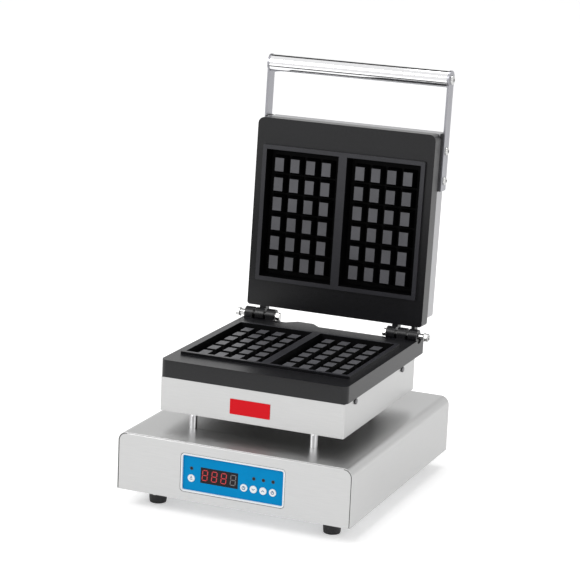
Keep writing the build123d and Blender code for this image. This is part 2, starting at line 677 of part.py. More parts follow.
BOARD_SIZE = (PANEL_WIDTH + 2 * BOARD_MARGIN, PANEL_HEIGHT + 2 * BOARD_MARGIN)
PILLAR_SPREAD = (BOARD_SIZE[0] - 2 * PILLAR_INSET_X, BOARD_SIZE[1] - 2 * PILLAR_INSET_Y)
with BuildPart() as control_board:
    with BuildSketch(behind_front(BOARD_DEPTH)):
        with Locations(PANEL_MIDDLE):
            Rectangle(*BOARD_SIZE)
            with GridLocations(*PILLAR_SPREAD, 2, 2):
                Circle(BOARD_SCREW_RADIUS + HOLE_CLEARANCE, mode=Mode.SUBTRACT)
    extrude(amount=BOARD_SHEET)
save(control_board, "control_board")

with BuildPart() as board_pillars:
    with BuildSketch(Plane.XY.offset(FLOOR_TOP)):
        with Locations(POWER_PLACE):
            with GridLocations(*POWER_POSTS, 2, 2):
                RegularPolygon(PILLAR_RADIUS, 6)
    extrude(amount=POWER_BOARD_RISE)
    with BuildSketch(behind_front(CARRIER_BACK)):
        with Locations(PANEL_MIDDLE):
            with GridLocations(*PILLAR_SPREAD, 2, 2):
                RegularPolygon(PILLAR_RADIUS, 6)
    extrude(amount=BOARD_DEPTH - CARRIER_BACK)
    with BuildSketch(behind_front(BOARD_DEPTH)):
        with Locations(PANEL_MIDDLE):
            with GridLocations(*PILLAR_SPREAD, 2, 2):
                Circle(BOARD_SCREW_RADIUS + BOLT_CLEARANCE)
    extrude(amount=-BOARD_SCREW_THREAD - BOLT_CLEARANCE, mode=Mode.SUBTRACT)
save(board_pillars, "board_pillars")

with BuildPart() as panel_fasteners:
    with BuildSketch(behind_front(CARRIER_BACK)):
        with Locations(*STUDS):
            RegularPolygon(STUD_NUT_FLATS / 2, 6, major_radius=False)
            Circle(STUD_RADIUS + BOLT_CLEARANCE, mode=Mode.SUBTRACT)
    extrude(amount=STUD_NUT_HEIGHT)
    with BuildSketch(behind_front(BOARD_DEPTH + BOARD_SHEET)):
        with Locations(PANEL_MIDDLE):
            with GridLocations(*PILLAR_SPREAD, 2, 2):
                Circle(BOARD_SCREW_HEAD_RADIUS)
    extrude(amount=BOARD_SCREW_HEAD_HEIGHT)
    with BuildSketch(behind_front(BOARD_DEPTH + BOARD_SHEET)):
        with Locations(PANEL_MIDDLE):
            with GridLocations(*PILLAR_SPREAD, 2, 2):
                Circle(BOARD_SCREW_RADIUS)
    extrude(amount=-BOARD_SHEET - BOARD_SCREW_THREAD)
save(panel_fasteners, "panel_fasteners")

with BuildPart() as buzzer:
    with BuildSketch(behind_front(BOARD_DEPTH + BOARD_SHEET)):
        with Locations((BUZZER_LEFT, PANEL_HEIGHT / 2)):
            Circle(BUZZER_RADIUS)
    extrude(amount=BUZZER_HEIGHT)
    with BuildSketch(behind_front(BOARD_DEPTH + BOARD_SHEET + BUZZER_HEIGHT)):
        with Locations((BUZZER_LEFT, PANEL_HEIGHT / 2)):
            Circle(BUZZER_HOLE_RADIUS)
    extrude(amount=-BUZZER_HEIGHT / 2, mode=Mode.SUBTRACT)
save(buzzer, "buzzer")

# Power supply on the floor of the base
POWER_BOARD_Z = FLOOR_TOP + POWER_BOARD_RISE
with BuildPart() as power_board:
    with BuildSketch(Plane.XY.offset(POWER_BOARD_Z)):
        with Locations(POWER_PLACE):
            Rectangle(POWER_BOARD_LENGTH, POWER_BOARD_WIDTH)
    extrude(amount=BOARD_SHEET)
save(power_board, "power_board")

with BuildPart() as transformer:
    with BuildSketch(Plane.XY.offset(POWER_BOARD_Z + BOARD_SHEET)):
        with Locations((POWER_BOARD_X - POWER_BOARD_LENGTH / 4, POWER_BOARD_Y)):
            Rectangle(TRANSFORMER_LENGTH, TRANSFORMER_WIDTH)
    extrude(amount=TRANSFORMER_HEIGHT)
    fillet(transformer.edges().filter_by(Axis.Z), BASE_SHEET)
save(transformer, "transformer")

with BuildPart() as relays:
    with BuildSketch(Plane.XY.offset(POWER_BOARD_Z + BOARD_SHEET)):
        with Locations((POWER_BOARD_X + POWER_BOARD_LENGTH / 4, POWER_BOARD_Y)):
            with GridLocations(1, RELAY_PITCH, 1, 2):
                Rectangle(RELAY_LENGTH, RELAY_WIDTH)
    extrude(amount=RELAY_HEIGHT)
save(relays, "relays")

with BuildPart() as terminal_block:
    with BuildSketch(Plane.XY.offset(FLOOR_TOP)):
        with Locations((TERMINAL_X, BASE_BACK - TERMINAL_BACK)):
            Rectangle(TERMINAL_POLES * TERMINAL_PITCH, TERMINAL_DEPTH)
    extrude(amount=TERMINAL_HEIGHT)
    with BuildSketch(Plane.XY.offset(FLOOR_TOP + TERMINAL_HEIGHT)):
        with Locations((TERMINAL_X, BASE_BACK - TERMINAL_BACK)):
            with GridLocations(TERMINAL_PITCH, TERMINAL_DEPTH / 2, TERMINAL_POLES, 2):
                Circle(TERMINAL_PITCH / 4)
    extrude(amount=-TERMINAL_HEIGHT / 2, mode=Mode.SUBTRACT)
save(terminal_block, "terminal_block")

# Mains cable gland and earth stud on the rear wall
GLAND_LENGTH = GLAND_HEX_LENGTH + GLAND_DOME_LENGTH
with BuildPart() as cable_gland:
    with BuildSketch(from_back(BASE_BACK, GLAND_X, GLAND_Z)):
        RegularPolygon(GLAND_HEX_FLATS / 2, 6, major_radius=False)
    extrude(amount=GLAND_HEX_LENGTH)
    with BuildSketch(from_back(BASE_BACK + GLAND_HEX_LENGTH, GLAND_X, GLAND_Z)):
        Circle(GLAND_HEX_FLATS / 2 - GLAND_STEP)
    extrude(amount=GLAND_DOME_LENGTH)
    fillet(cable_gland.edges().group_by(Axis.Y)[-1], GLAND_HEX_FLATS / 2 - GLAND_STEP - GLAND_TIP_RADIUS)
    with BuildSketch(from_back(BASE_BACK, GLAND_X, GLAND_Z)):
        Circle(GLAND_THREAD_RADIUS)
    extrude(amount=-BASE_SHEET - GLAND_INSIDE)
    with BuildSketch(from_back(BASE_BACK + GLAND_LENGTH, GLAND_X, GLAND_Z)):
        Circle(GLAND_BORE_RADIUS)
    extrude(amount=-GLAND_LENGTH - BASE_SHEET - GLAND_INSIDE, mode=Mode.SUBTRACT)
    with BuildSketch(from_back(BASE_BACK - BASE_SHEET, GLAND_X, GLAND_Z)):
        RegularPolygon(GLAND_HEX_FLATS / 2, 6, major_radius=False)
        Circle(GLAND_THREAD_RADIUS + BOLT_CLEARANCE, mode=Mode.SUBTRACT)
    extrude(amount=-GLAND_NUT_LENGTH)
save(cable_gland, "cable_gland")

with BuildPart() as earth_terminal:
    with BuildSketch(from_back(BASE_BACK - BASE_SHEET - EARTH_INSIDE, EARTH_X, GLAND_Z)):
        Circle(EARTH_RADIUS)
    extrude(amount=EARTH_INSIDE + BASE_SHEET + EARTH_OUTSIDE)
    for face_y, direction in ((BASE_BACK, 1), (BASE_BACK - BASE_SHEET, -1)):
        with BuildSketch(from_back(face_y, EARTH_X, GLAND_Z)):
            RegularPolygon(EARTH_NUT_FLATS / 2, 6, major_radius=False)
            Circle(EARTH_RADIUS + BOLT_CLEARANCE, mode=Mode.SUBTRACT)
        extrude(amount=direction * EARTH_NUT_HEIGHT)
save(earth_terminal, "earth_terminal")

# Hollow posts with threaded ends, and their nuts
BODY_FLOOR_TOP = BODY_BOTTOM + 2 * BODY_SHEET
POST_FOOT = BASE_TOP - BASE_SHEET - POST_THREAD_LENGTH
POST_HEAD = BODY_FLOOR_TOP + POST_THREAD_LENGTH

with BuildPart() as posts:
    with BuildSketch(Plane.XY.offset(BASE_TOP)):
        with Locations(*POSTS):
            Circle(POST_RADIUS)
    extrude(amount=POST_HEIGHT)
    with BuildSketch(Plane.XY.offset(POST_FOOT)):
        with Locations(*POSTS):
            Circle(POST_THREAD_RADIUS)
    extrude(amount=POST_HEAD - POST_FOOT)
    with BuildSketch(Plane.XY.offset(POST_FOOT)):
        with Locations(*POSTS):
            Circle(POST_BORE_RADIUS)
    extrude(amount=POST_HEAD - POST_FOOT, mode=Mode.SUBTRACT)
save(posts, "posts")

with BuildPart() as post_nuts:
    for nut_z, direction in ((BASE_TOP - BASE_SHEET, -1), (BODY_FLOOR_TOP, 1)):
        with BuildSketch(Plane.XY.offset(nut_z)):
            with Locations(*POSTS):
                RegularPolygon(POST_NUT_FLATS / 2, 6, major_radius=False)
                Circle(POST_THREAD_RADIUS + BOLT_CLEARANCE, mode=Mode.SUBTRACT)
        extrude(amount=direction * POST_NUT_HEIGHT)
save(post_nuts, "post_nuts")

# Stainless body: four walls with a flange under them, and a floor plate on the flange
BODY_MIDDLE_Y = (BODY_FRONT + BODY_BACK) / 2
BODY_CENTRE = (0, BODY_MIDDLE_Y)
SIDE_SCREW_Z = PLATE_BOTTOM - SIDE_SCREW_DROP
BODY_GROMMET_Z = BODY_BOTTOM + BODY_HEIGHT / 2

with BuildPart() as body_shell:
    with BuildSketch(Plane.XY.offset(BODY_BOTTOM)):
        with Locations(BODY_CENTRE):
            RectangleRounded(BODY_WIDTH, BODY_DEPTH, BODY_CORNER)
    extrude(amount=BODY_HEIGHT)
    with BuildSketch(Plane.XY.offset(BODY_BOTTOM + BODY_SHEET)):
        with Locations(BODY_CENTRE):
            RectangleRounded(BODY_WIDTH - 2 * BODY_SHEET, BODY_DEPTH - 2 * BODY_SHEET,
                             BODY_CORNER - BODY_SHEET)
    extrude(amount=BODY_HEIGHT, mode=Mode.SUBTRACT)
    with BuildSketch(Plane.XY.offset(BODY_BOTTOM)):
        with Locations(BODY_CENTRE):
            Rectangle(BODY_WIDTH - 2 * BODY_FLANGE, BODY_DEPTH - 2 * BODY_FLANGE)
        with Locations(*POSTS):
            Circle(POST_THREAD_RADIUS + HOLE_CLEARANCE)
    extrude(amount=BODY_SHEET, mode=Mode.SUBTRACT)
    with BuildSketch(Plane.YZ.offset(-BODY_WIDTH / 2)):
        with Locations(*[(AXIS_Y - reach, SIDE_SCREW_Z) for reach in SIDE_SCREW_REACH]):
            Circle(SIDE_SCREW_RADIUS + HOLE_CLEARANCE)
    extrude(amount=BODY_WIDTH, mode=Mode.SUBTRACT)
    with BuildSketch(from_back(BODY_BACK, -GROMMET_U, BODY_GROMMET_Z)):
        Circle(GROMMET_RADIUS - GROMMET_LIP + BOLT_CLEARANCE)
    extrude(amount=-2 * BODY_SHEET, mode=Mode.SUBTRACT)
save(body_shell, "body_shell")

with BuildPart() as body_floor:
    with BuildSketch(Plane.XY.offset(BODY_BOTTOM + BODY_SHEET)):
        with Locations(BODY_CENTRE):
            RectangleRounded(BODY_WIDTH - 2 * (BODY_SHEET + SHEET_GAP),
                             BODY_DEPTH - 2 * (BODY_SHEET + SHEET_GAP), BODY_CORNER - BODY_SHEET)
        with Locations(*POSTS):
            Circle(POST_THREAD_RADIUS + HOLE_CLEARANCE, mode=Mode.SUBTRACT)
    extrude(amount=BODY_SHEET)
save(body_floor, "body_floor")


def grommet(plane, wall):
    """A rubber ring with a groove that grips a sheet's hole, drawn from the sheet's outer face."""
    with BuildPart() as ring:
        with BuildSketch(plane.offset(GROMMET_GROOVE)):
            Circle(GROMMET_RADIUS)
        extrude(amount=-2 * GROMMET_GROOVE - wall)
        with BuildSketch(plane):
            Circle(GROMMET_RADIUS)
            Circle(GROMMET_RADIUS - GROMMET_LIP, mode=Mode.SUBTRACT)
        extrude(amount=-wall, mode=Mode.SUBTRACT)
        with BuildSketch(plane.offset(GROMMET_GROOVE)):
            Circle(GROMMET_BORE)
        extrude(amount=-2 * GROMMET_GROOVE - wall, mode=Mode.SUBTRACT)
    return ring


save(grommet(from_back(BODY_BACK, -GROMMET_U, BODY_GROMMET_Z), BODY_SHEET), "body_grommet")

with BuildPart() as front_badge:
    with BuildSketch(from_back(BODY_FRONT, -BADGE_LEFT, BODY_BOTTOM + BADGE_RISE)):
        Rectangle(BADGE_WIDTH, BADGE_HEIGHT)
    extrude(amount=-BADGE_THICK)
    fillet(front_badge.edges().filter_by(Axis.Y), BADGE_THICK)
save(front_badge, "front_badge")

with BuildPart() as body_screws:
    for side in (-1, 1):
        places = [(AXIS_Y - reach, SIDE_SCREW_Z) for reach in SIDE_SCREW_REACH]
        with BuildSketch(Plane.YZ.offset(side * BODY_WIDTH / 2)):
            with Locations(*places):
                Circle(SIDE_HEAD_RADIUS)
        extrude(amount=side * SIDE_HEAD_HEIGHT)
        with BuildSketch(Plane.YZ.offset(side * BODY_WIDTH / 2)):
            with Locations(*places):
                Circle(SIDE_SCREW_RADIUS)
        extrude(amount=-side * (BODY_SHEET + SIDE_SCREW_DEPTH))
save(body_screws, "body_screws")

# Baking plates
RIM_TOP = RIM_HEIGHT - FACE_DROP
WELL_FLOOR = -FACE_DROP - WELL_DEPTH
BLOCK_HEIGHT = WELL_DEPTH + BLOCK_PROUD
BLOCK_DRAFT = degrees(atan(BLOCK_FLARE / BLOCK_HEIGHT))
WELL_PITCH = WELL_WIDTH + WELL_DIVIDER
WELL_INSET = (RIM_TOP - WELL_FLOOR) * sin(radians(WELL_DRAFT)) / cos(radians(WELL_DRAFT))
UNDERSIDE = -FACE_DROP - PLATE_THICK
OWN_KNUCKLES = (-HINGE_MIDDLE, HINGE_MIDDLE - KNUCKLE_PITCH, HINGE_MIDDLE + KNUCKLE_PITCH)
OTHER_KNUCKLES = (HINGE_MIDDLE, -HINGE_MIDDLE + KNUCKLE_PITCH, -HINGE_MIDDLE - KNUCKLE_PITCH)
BOSS_HEIGHT = 2 * (ELEMENT_RADIUS + ELEMENT_GAP)
BOSSES = [(u * BOSS_PITCH_U, RIM_MIDDLE + v * BOSS_PITCH_V / 2) for u in (-1, 0, 1) for v in (-1, 1)]
HEATER_PLATE_OUT = UNDERSIDE - BOSS_HEIGHT
WINDOW_PLACE = (0, RIM_MIDDLE)
PROBE_PLACE = (0, RIM_MIDDLE - PROBE_BACK)


def plate_body(plane, edge):
    """The slab, rim, wells and blocks that both castings share."""
    with BuildPart() as body:
        with BuildSketch(plane.offset(-FACE_DROP)) as outline:
            with Locations((0, (edge + PLATE_REACH) / 2)):
                Rectangle(PLATE_WIDTH, PLATE_REACH - edge)
            fillet(outline.vertices().group_by(Axis.Y)[-1], PLATE_CORNER)
            fillet(outline.vertices().group_by(Axis.Y)[0], PLATE_NEAR_CORNER)
        extrude(amount=-PLATE_THICK)
        with BuildSketch(plane.offset(UNDERSIDE)):
            with Locations(*BOSSES):
                Circle(BOSS_RADIUS)
        extrude(amount=-BOSS_HEIGHT)
        with BuildSketch(plane.offset(HEATER_PLATE_OUT)):
            with Locations(*BOSSES):
                Circle(HEATER_SCREW_RADIUS + BOLT_CLEARANCE)
        extrude(amount=BOSS_HEIGHT + HEATER_THREAD, mode=Mode.SUBTRACT)
        with BuildSketch(plane.offset(UNDERSIDE)):
            with Locations(PROBE_PLACE):
                Circle(PROBE_RADIUS + BOLT_CLEARANCE)
        extrude(amount=PROBE_DEPTH + BOLT_CLEARANCE, mode=Mode.SUBTRACT)
    return body.part


def baking_face(plane):
    """The raised rim, the two wells and their blocks, as one cutting tool and one added solid."""
    with BuildPart() as rim:
        with BuildSketch(plane.offset(-FACE_DROP)):
            with Locations((0, RIM_MIDDLE)):
                RectangleRounded(RIM_WIDTH, RIM_LENGTH, RIM_CORNER)
        extrude(amount=RIM_HEIGHT)
    with BuildPart() as wells:
        with BuildSketch(plane.offset(WELL_FLOOR)):
            with Locations((0, RIM_MIDDLE)):
                with GridLocations(WELL_PITCH, 1, 2, 1):
                    Rectangle(WELL_WIDTH - 2 * WELL_INSET, WELL_LENGTH - 2 * WELL_INSET)
        extrude(amount=RIM_TOP - WELL_FLOOR, taper=-WELL_DRAFT)
    with BuildPart() as blocks:
        with BuildSketch(plane.offset(WELL_FLOOR)):
            with Locations((0, RIM_MIDDLE)):
                with GridLocations(WELL_PITCH, 1, 2, 1):
                    with GridLocations(COLUMN_PITCH, ROW_PITCH, BLOCK_COLUMNS, BLOCK_ROWS):
                        Rectangle(BLOCK_TOP_WIDTH + 2 * BLOCK_FLARE, BLOCK_TOP_LENGTH + 2 * BLOCK_FLARE)
        extrude(amount=BLOCK_HEIGHT, taper=BLOCK_DRAFT)
    return rim.part, wells.part, blocks.part


def pin_bores(plane, radius):
    """The bores through one casting's three knuckles."""
    with BuildPart() as bores:
        for middle in OWN_KNUCKLES:
            with BuildSketch(across(plane, middle - KNUCKLE_WIDTH)):
                Circle(radius)
            extrude(amount=2 * KNUCKLE_WIDTH)
    return bores.part


def knuckle_reliefs(plane):
    """The room that the other casting's knuckles turn in."""
    with BuildPart() as reliefs:
        for middle in OTHER_KNUCKLES:
            width = KNUCKLE_PITCH * 2 - KNUCKLE_WIDTH
            with BuildSketch(across(plane, middle - width / 2)):
                Circle(KNUCKLE_RADIUS + KNUCKLE_CLEARANCE)
            extrude(amount=width)
    return reliefs.part


lower_rim, lower_wells, lower_blocks = baking_face(LOWER)
with BuildPart() as lower_plate:
    add(plate_body(LOWER, LOWER_EDGE))
    # Rear lugs carry the hinges, the small tab lies between them.
    with BuildSketch(LOWER.offset(-FACE_DROP)):
        lug_width = PLATE_WIDTH / 2 - KNUCKLE_INNER
        lug_length = REAR_LUG_REACH + 2 * LOWER_EDGE + PLATE_CORNER
        for side in (-1, 1):
            with Locations((side * (KNUCKLE_INNER + lug_width / 2), lug_length / 2 - REAR_LUG_REACH)):
                RectangleRounded(lug_width, lug_length, PLATE_CORNER)
    extrude(amount=-PLATE_THICK)
    with BuildSketch(LOWER.offset(-FACE_DROP)):
        with BuildLine():
            Polyline(
                (TAB_MIDDLE - TAB_HALF_ROOT, LOWER_EDGE + TAB_OVERLAP),
                (TAB_MIDDLE - TAB_HALF_TIP, LOWER_EDGE - TAB_REACH),
                (TAB_MIDDLE + TAB_HALF_TIP, LOWER_EDGE - TAB_REACH),
                (TAB_MIDDLE + TAB_HALF_ROOT, LOWER_EDGE + TAB_OVERLAP),
                close=True,
            )
        make_face()
    extrude(amount=-TAB_THICK)
    add(knuckle_reliefs(LOWER), mode=Mode.SUBTRACT)
    for middle in OWN_KNUCKLES:
        with BuildSketch(across(LOWER, middle - KNUCKLE_WIDTH / 2)):
            Circle(KNUCKLE_RADIUS)
            with Locations((0, -KNUCKLE_RADIUS)):
                Rectangle(2 * KNUCKLE_RADIUS, 2 * KNUCKLE_RADIUS)
        extrude(amount=KNUCKLE_WIDTH)
    add(pin_bores(LOWER, PIN_RADIUS + PIN_FIT), mode=Mode.SUBTRACT)
    add(lower_rim)
    add(lower_wells, mode=Mode.SUBTRACT)
    add(lower_blocks)
    # Side lugs inside the stainless body take its screws.
    for side in (-1, 1):
        lug_outer = side * (BODY_WIDTH / 2 - BODY_SHEET - SHEET_GAP)
        with BuildSketch(across(LOWER, lug_outer)):
            with Locations(*[(reach, UNDERSIDE - SIDE_LUG_DROP / 2) for reach in SIDE_SCREW_REACH]):
                Rectangle(SIDE_LUG_LENGTH, SIDE_LUG_DROP)
        extrude(amount=-side * SCREW_LUG_DEPTH)
        with BuildSketch(across(LOWER, lug_outer)):
            with Locations(*[(reach, UNDERSIDE - SIDE_SCREW_DROP) for reach in SIDE_SCREW_REACH]):
                Circle(SIDE_SCREW_RADIUS + BOLT_CLEARANCE)
        extrude(amount=-side * SIDE_SCREW_DEPTH, mode=Mode.SUBTRACT)
save(lower_plate, "lower_plate")

COVER_INSIDE_HALF = COVER_WIDTH / 2 - COVER_SHEET - SHEET_GAP
LUG_REACH_OUT = BAR_OUT + SCREW_LUG_WIDTH / 2
HEEL_V = -FACE_DROP / sin(OPEN) + HEEL_GAP
HEEL_SLOPE = cos(OPEN) / sin(OPEN)
LID_ARMS = (
    (-HINGE_MIDDLE - LEFT_ARM_WIDTH / 2, LEFT_ARM_WIDTH),
    (HINGE_MIDDLE - KNUCKLE_PITCH + KNUCKLE_WIDTH / 2 - INNER_ARM_WIDTH, INNER_ARM_WIDTH),
    (HINGE_MIDDLE + KNUCKLE_PITCH - KNUCKLE_WIDTH / 2, OUTER_ARM_WIDTH),
)

lid_rim, lid_wells, lid_blocks = baking_face(LID)
with BuildPart() as upper_plate:
    add(plate_body(LID, LID_EDGE))
    add(lid_rim)
    add(lid_wells, mode=Mode.SUBTRACT)
    add(lid_blocks)
    # Each knuckle stands on an arm whose heel meets the rear lug when the lid is open.
    for middle in OWN_KNUCKLES:
        with BuildSketch(across(LID, middle - KNUCKLE_WIDTH / 2)):
            Circle(KNUCKLE_RADIUS)
        extrude(amount=KNUCKLE_WIDTH)
    for arm_start, arm_width in LID_ARMS:
        with BuildSketch(across(LID, arm_start)):
            with BuildLine():
                Polyline(
                    (LID_EDGE + PLATE_CORNER, -FACE_DROP),
                    (0, -FACE_DROP),
                    (HEEL_V - HEEL_SLOPE * FACE_DROP, -FACE_DROP),
                    (HEEL_V - HEEL_SLOPE * HEEL_REACH, -HEEL_REACH),
                    (LID_EDGE + PLATE_CORNER, -HEEL_REACH),
                    close=True,
                )
            make_face()
        extrude(amount=arm_width)
    add(pin_bores(LID, PIN_RADIUS + PIN_RUNNING), mode=Mode.SUBTRACT)
    for side in (-1, 1):
        lug_face = across(LID, side * COVER_INSIDE_HALF)
        with BuildSketch(lug_face):
            with Locations(*[(reach, (UNDERSIDE - LUG_REACH_OUT) / 2) for reach in ARM_SCREW_REACH]):
                Rectangle(SCREW_LUG_WIDTH, LUG_REACH_OUT + UNDERSIDE)
        extrude(amount=-side * SCREW_LUG_DEPTH)
        with BuildSketch(lug_face):
            with Locations(*[(reach, -BAR_OUT) for reach in ARM_SCREW_REACH]):
                Circle(ARM_SCREW_RADIUS + BOLT_CLEARANCE)
        extrude(amount=-side * (ARM_SCREW_DEPTH + BOLT_CLEARANCE), mode=Mode.SUBTRACT)
save(upper_plate, "upper_plate")

# Hinge pins with a head inside, and a collar, a washer and a nut outside
COLLAR_START = KNUCKLE_OUTER + SEAT_GAP
COLLAR_END = COLLAR_START + COLLAR_LENGTH
NUT_START = COLLAR_END + WASHER_THICK
HEAD_START = KNUCKLE_INNER - SEAT_GAP - WASHER_THICK


def on_hinge(u, side):
    """The plane square to the hinge axis at a distance u to one side, its normal pointing out."""
    return Plane(origin=(side * u, AXIS_Y, AXIS_Z), x_dir=(0, 1, 0), z_dir=(side, 0, 0))


with BuildPart() as hinge_pins:
    for side in (-1, 1):
        with BuildSketch(on_hinge(HEAD_START, side)):
            RegularPolygon(PIN_HEAD_FLATS / 2, 6, major_radius=False)
        extrude(amount=-PIN_HEAD_LENGTH)
        with BuildSketch(on_hinge(HEAD_START, side)):
            Circle(PIN_RADIUS)
        extrude(amount=KNUCKLE_OUTER - HEAD_START)
        with BuildSketch(on_hinge(KNUCKLE_OUTER, side)):
            Circle(PIN_END_RADIUS)
        extrude(amount=NUT_START + PIN_NUT_LENGTH + PIN_TIP - KNUCKLE_OUTER)
save(hinge_pins, "hinge_pins")

with BuildPart() as hinge_spacers:
    for side in (-1, 1):
        with BuildSketch(on_hinge(COLLAR_START, side)):
            Circle(COLLAR_RADIUS)
            Circle(PIN_END_RADIUS + BOLT_CLEARANCE, mode=Mode.SUBTRACT)
        extrude(amount=COLLAR_LENGTH)
        with BuildSketch(on_hinge(COLLAR_END, side)):
            Circle(WASHER_RADIUS)
            Circle(PIN_END_RADIUS + BOLT_CLEARANCE, mode=Mode.SUBTRACT)
        extrude(amount=WASHER_THICK)
        with BuildSketch(on_hinge(HEAD_START, side)):
            Circle(WASHER_RADIUS)
            Circle(PIN_RADIUS + BOLT_CLEARANCE, mode=Mode.SUBTRACT)
        extrude(amount=WASHER_THICK)
save(hinge_spacers, "hinge_spacers")

with BuildPart() as hinge_nuts:
    for side in (-1, 1):
        with BuildSketch(on_hinge(NUT_START, side)):
            RegularPolygon(PIN_HEAD_FLATS / 2, 6, major_radius=False)
            Circle(PIN_END_RADIUS + BOLT_CLEARANCE, mode=Mode.SUBTRACT)
        extrude(amount=PIN_NUT_LENGTH)
save(hinge_nuts, "hinge_nuts")

# Heater pack: element, pressing plate, blanket, shield, screws, probe and thermal cut-out
BLANKET_OUT = HEATER_PLATE_OUT - HEATER_SHEET
SHIELD_OUT = BLANKET_OUT - BLANKET_THICK
SHIELD_BACK = SHIELD_OUT - SHIELD_SHEET
HEATER_PLATE_LENGTH = HEATER_PLATE_FAR - HEATER_PLATE_NEAR
HEATER_PLATE_PLACE = (0, (HEATER_PLATE_FAR + HEATER_PLATE_NEAR) / 2)


def heater_layer(plane, out, thickness, screw_hole):
    """One layer of the heater pack, with its screw holes and the window for the sensors."""
    with BuildPart() as layer:
        with BuildSketch(plane.offset(out)):
            with Locations(HEATER_PLATE_PLACE):
                Rectangle(HEATER_PLATE_WIDTH, HEATER_PLATE_LENGTH)
            with Locations(*BOSSES):
                Circle(screw_hole, mode=Mode.SUBTRACT)
            if out < HEATER_PLATE_OUT:
                with Locations(WINDOW_PLACE):
                    RectangleRounded(WINDOW_WIDTH, WINDOW_LENGTH, WINDOW_CORNER, mode=Mode.SUBTRACT)
            else:
                with Locations(PROBE_PLACE):
                    Circle(PROBE_RADIUS + HOLE_CLEARANCE, mode=Mode.SUBTRACT)
        extrude(amount=-thickness)
    return layer


def heating_element(plane):
    """A tubular element: straight runs joined by half turns, with two slim terminals."""
    centre_out = UNDERSIDE - ELEMENT_GAP - ELEMENT_RADIUS
    level = plane.offset(centre_out)
    first = -(ELEMENT_RUNS - 1) * ELEMENT_PITCH / 2
    with BuildPart() as element:
        with BuildLine(level) as path:
            for run in range(ELEMENT_RUNS):
                u = first + run * ELEMENT_PITCH
                outward = run % 2 == 0
                start, end = (ELEMENT_NEAR, ELEMENT_FAR) if outward else (ELEMENT_FAR, ELEMENT_NEAR)
                Line((u, start), (u, end))
                if run < ELEMENT_RUNS - 1:
                    bulge = ELEMENT_PITCH / 2 if outward else -ELEMENT_PITCH / 2
                    ThreePointArc((u, end), (u + ELEMENT_PITCH / 2, end + bulge), (u + ELEMENT_PITCH, end))
        with BuildSketch(Plane(origin=path.wires()[0] @ 0, z_dir=path.wires()[0] % 0)):
            Circle(ELEMENT_RADIUS)
        sweep(path=path.wires()[0])
        for u in (first, -first):
            tail = Plane(origin=level.from_local_coords((u, ELEMENT_NEAR, 0)), z_dir=-level.y_dir)
            with BuildSketch(tail):
                Circle(ELEMENT_TAIL_RADIUS)
            extrude(amount=ELEMENT_TAIL)
    return element


def heater_screws(plane):
    """The screws through the whole pack into the casting's bosses."""
    with BuildPart() as screws:
        with BuildSketch(plane.offset(SHIELD_BACK)):
            with Locations(*BOSSES):
                Circle(HEATER_HEAD_RADIUS)
        extrude(amount=-HEATER_HEAD_LENGTH)
        with BuildSketch(plane.offset(SHIELD_BACK)):
            with Locations(*BOSSES):
                Circle(HEATER_SCREW_RADIUS)
        extrude(amount=UNDERSIDE + HEATER_THREAD - BOLT_CLEARANCE - SHIELD_BACK)
    return screws


def plate_sensors(plane):
    """A screwed probe that reaches into the casting, and a disc thermostat with two blades."""
    cutout_place = (0, RIM_MIDDLE + CUTOUT_FORWARD)
    with BuildPart() as sensors:
        with BuildSketch(plane.offset(BLANKET_OUT)):
            with Locations(PROBE_PLACE):
                RegularPolygon(PROBE_FLATS / 2, 6, major_radius=False)
        extrude(amount=-PROBE_HEAD)
        with BuildSketch(plane.offset(BLANKET_OUT)):
            with Locations(PROBE_PLACE):
                Circle(PROBE_RADIUS)
        extrude(amount=UNDERSIDE + PROBE_DEPTH - BLANKET_OUT)
        with BuildSketch(plane.offset(BLANKET_OUT)):
            with Locations(cutout_place):
                Circle(CUTOUT_RADIUS)
        extrude(amount=-CUTOUT_HEIGHT)
        with BuildSketch(plane.offset(BLANKET_OUT - CUTOUT_HEIGHT)):
            with Locations(cutout_place):
                with GridLocations(CUTOUT_RADIUS, 1, 2, 1):
                    Rectangle(BLADE_THICK, BLADE_WIDTH)
        extrude(amount=-CUTOUT_HEIGHT)
    return sensors


for prefix, plate_plane in (("lower", LOWER), ("upper", LID)):
    screw_hole = HEATER_SCREW_RADIUS + HOLE_CLEARANCE
    save(heating_element(plate_plane), f"{prefix}_element")
    save(heater_layer(plate_plane, HEATER_PLATE_OUT, HEATER_SHEET, screw_hole), f"{prefix}_pressing_plate")
    save(heater_layer(plate_plane, BLANKET_OUT, BLANKET_THICK, screw_hole), f"{prefix}_blanket")
    save(heater_layer(plate_plane, SHIELD_OUT, SHIELD_SHEET, screw_hole), f"{prefix}_shield")
    save(heater_screws(plate_plane), f"{prefix}_heater_screws")
    save(plate_sensors(plate_plane), f"{prefix}_sensors")

# Lid cover: a folded stainless box that is open towards the casting
COVER_LENGTH = PLATE_REACH - COVER_NEAR
COVER_PLACE = (0, (PLATE_REACH + COVER_NEAR) / 2)
COVER_HOLLOW = (COVER_WIDTH - 2 * COVER_SHEET, COVER_LENGTH - 2 * COVER_SHEET)

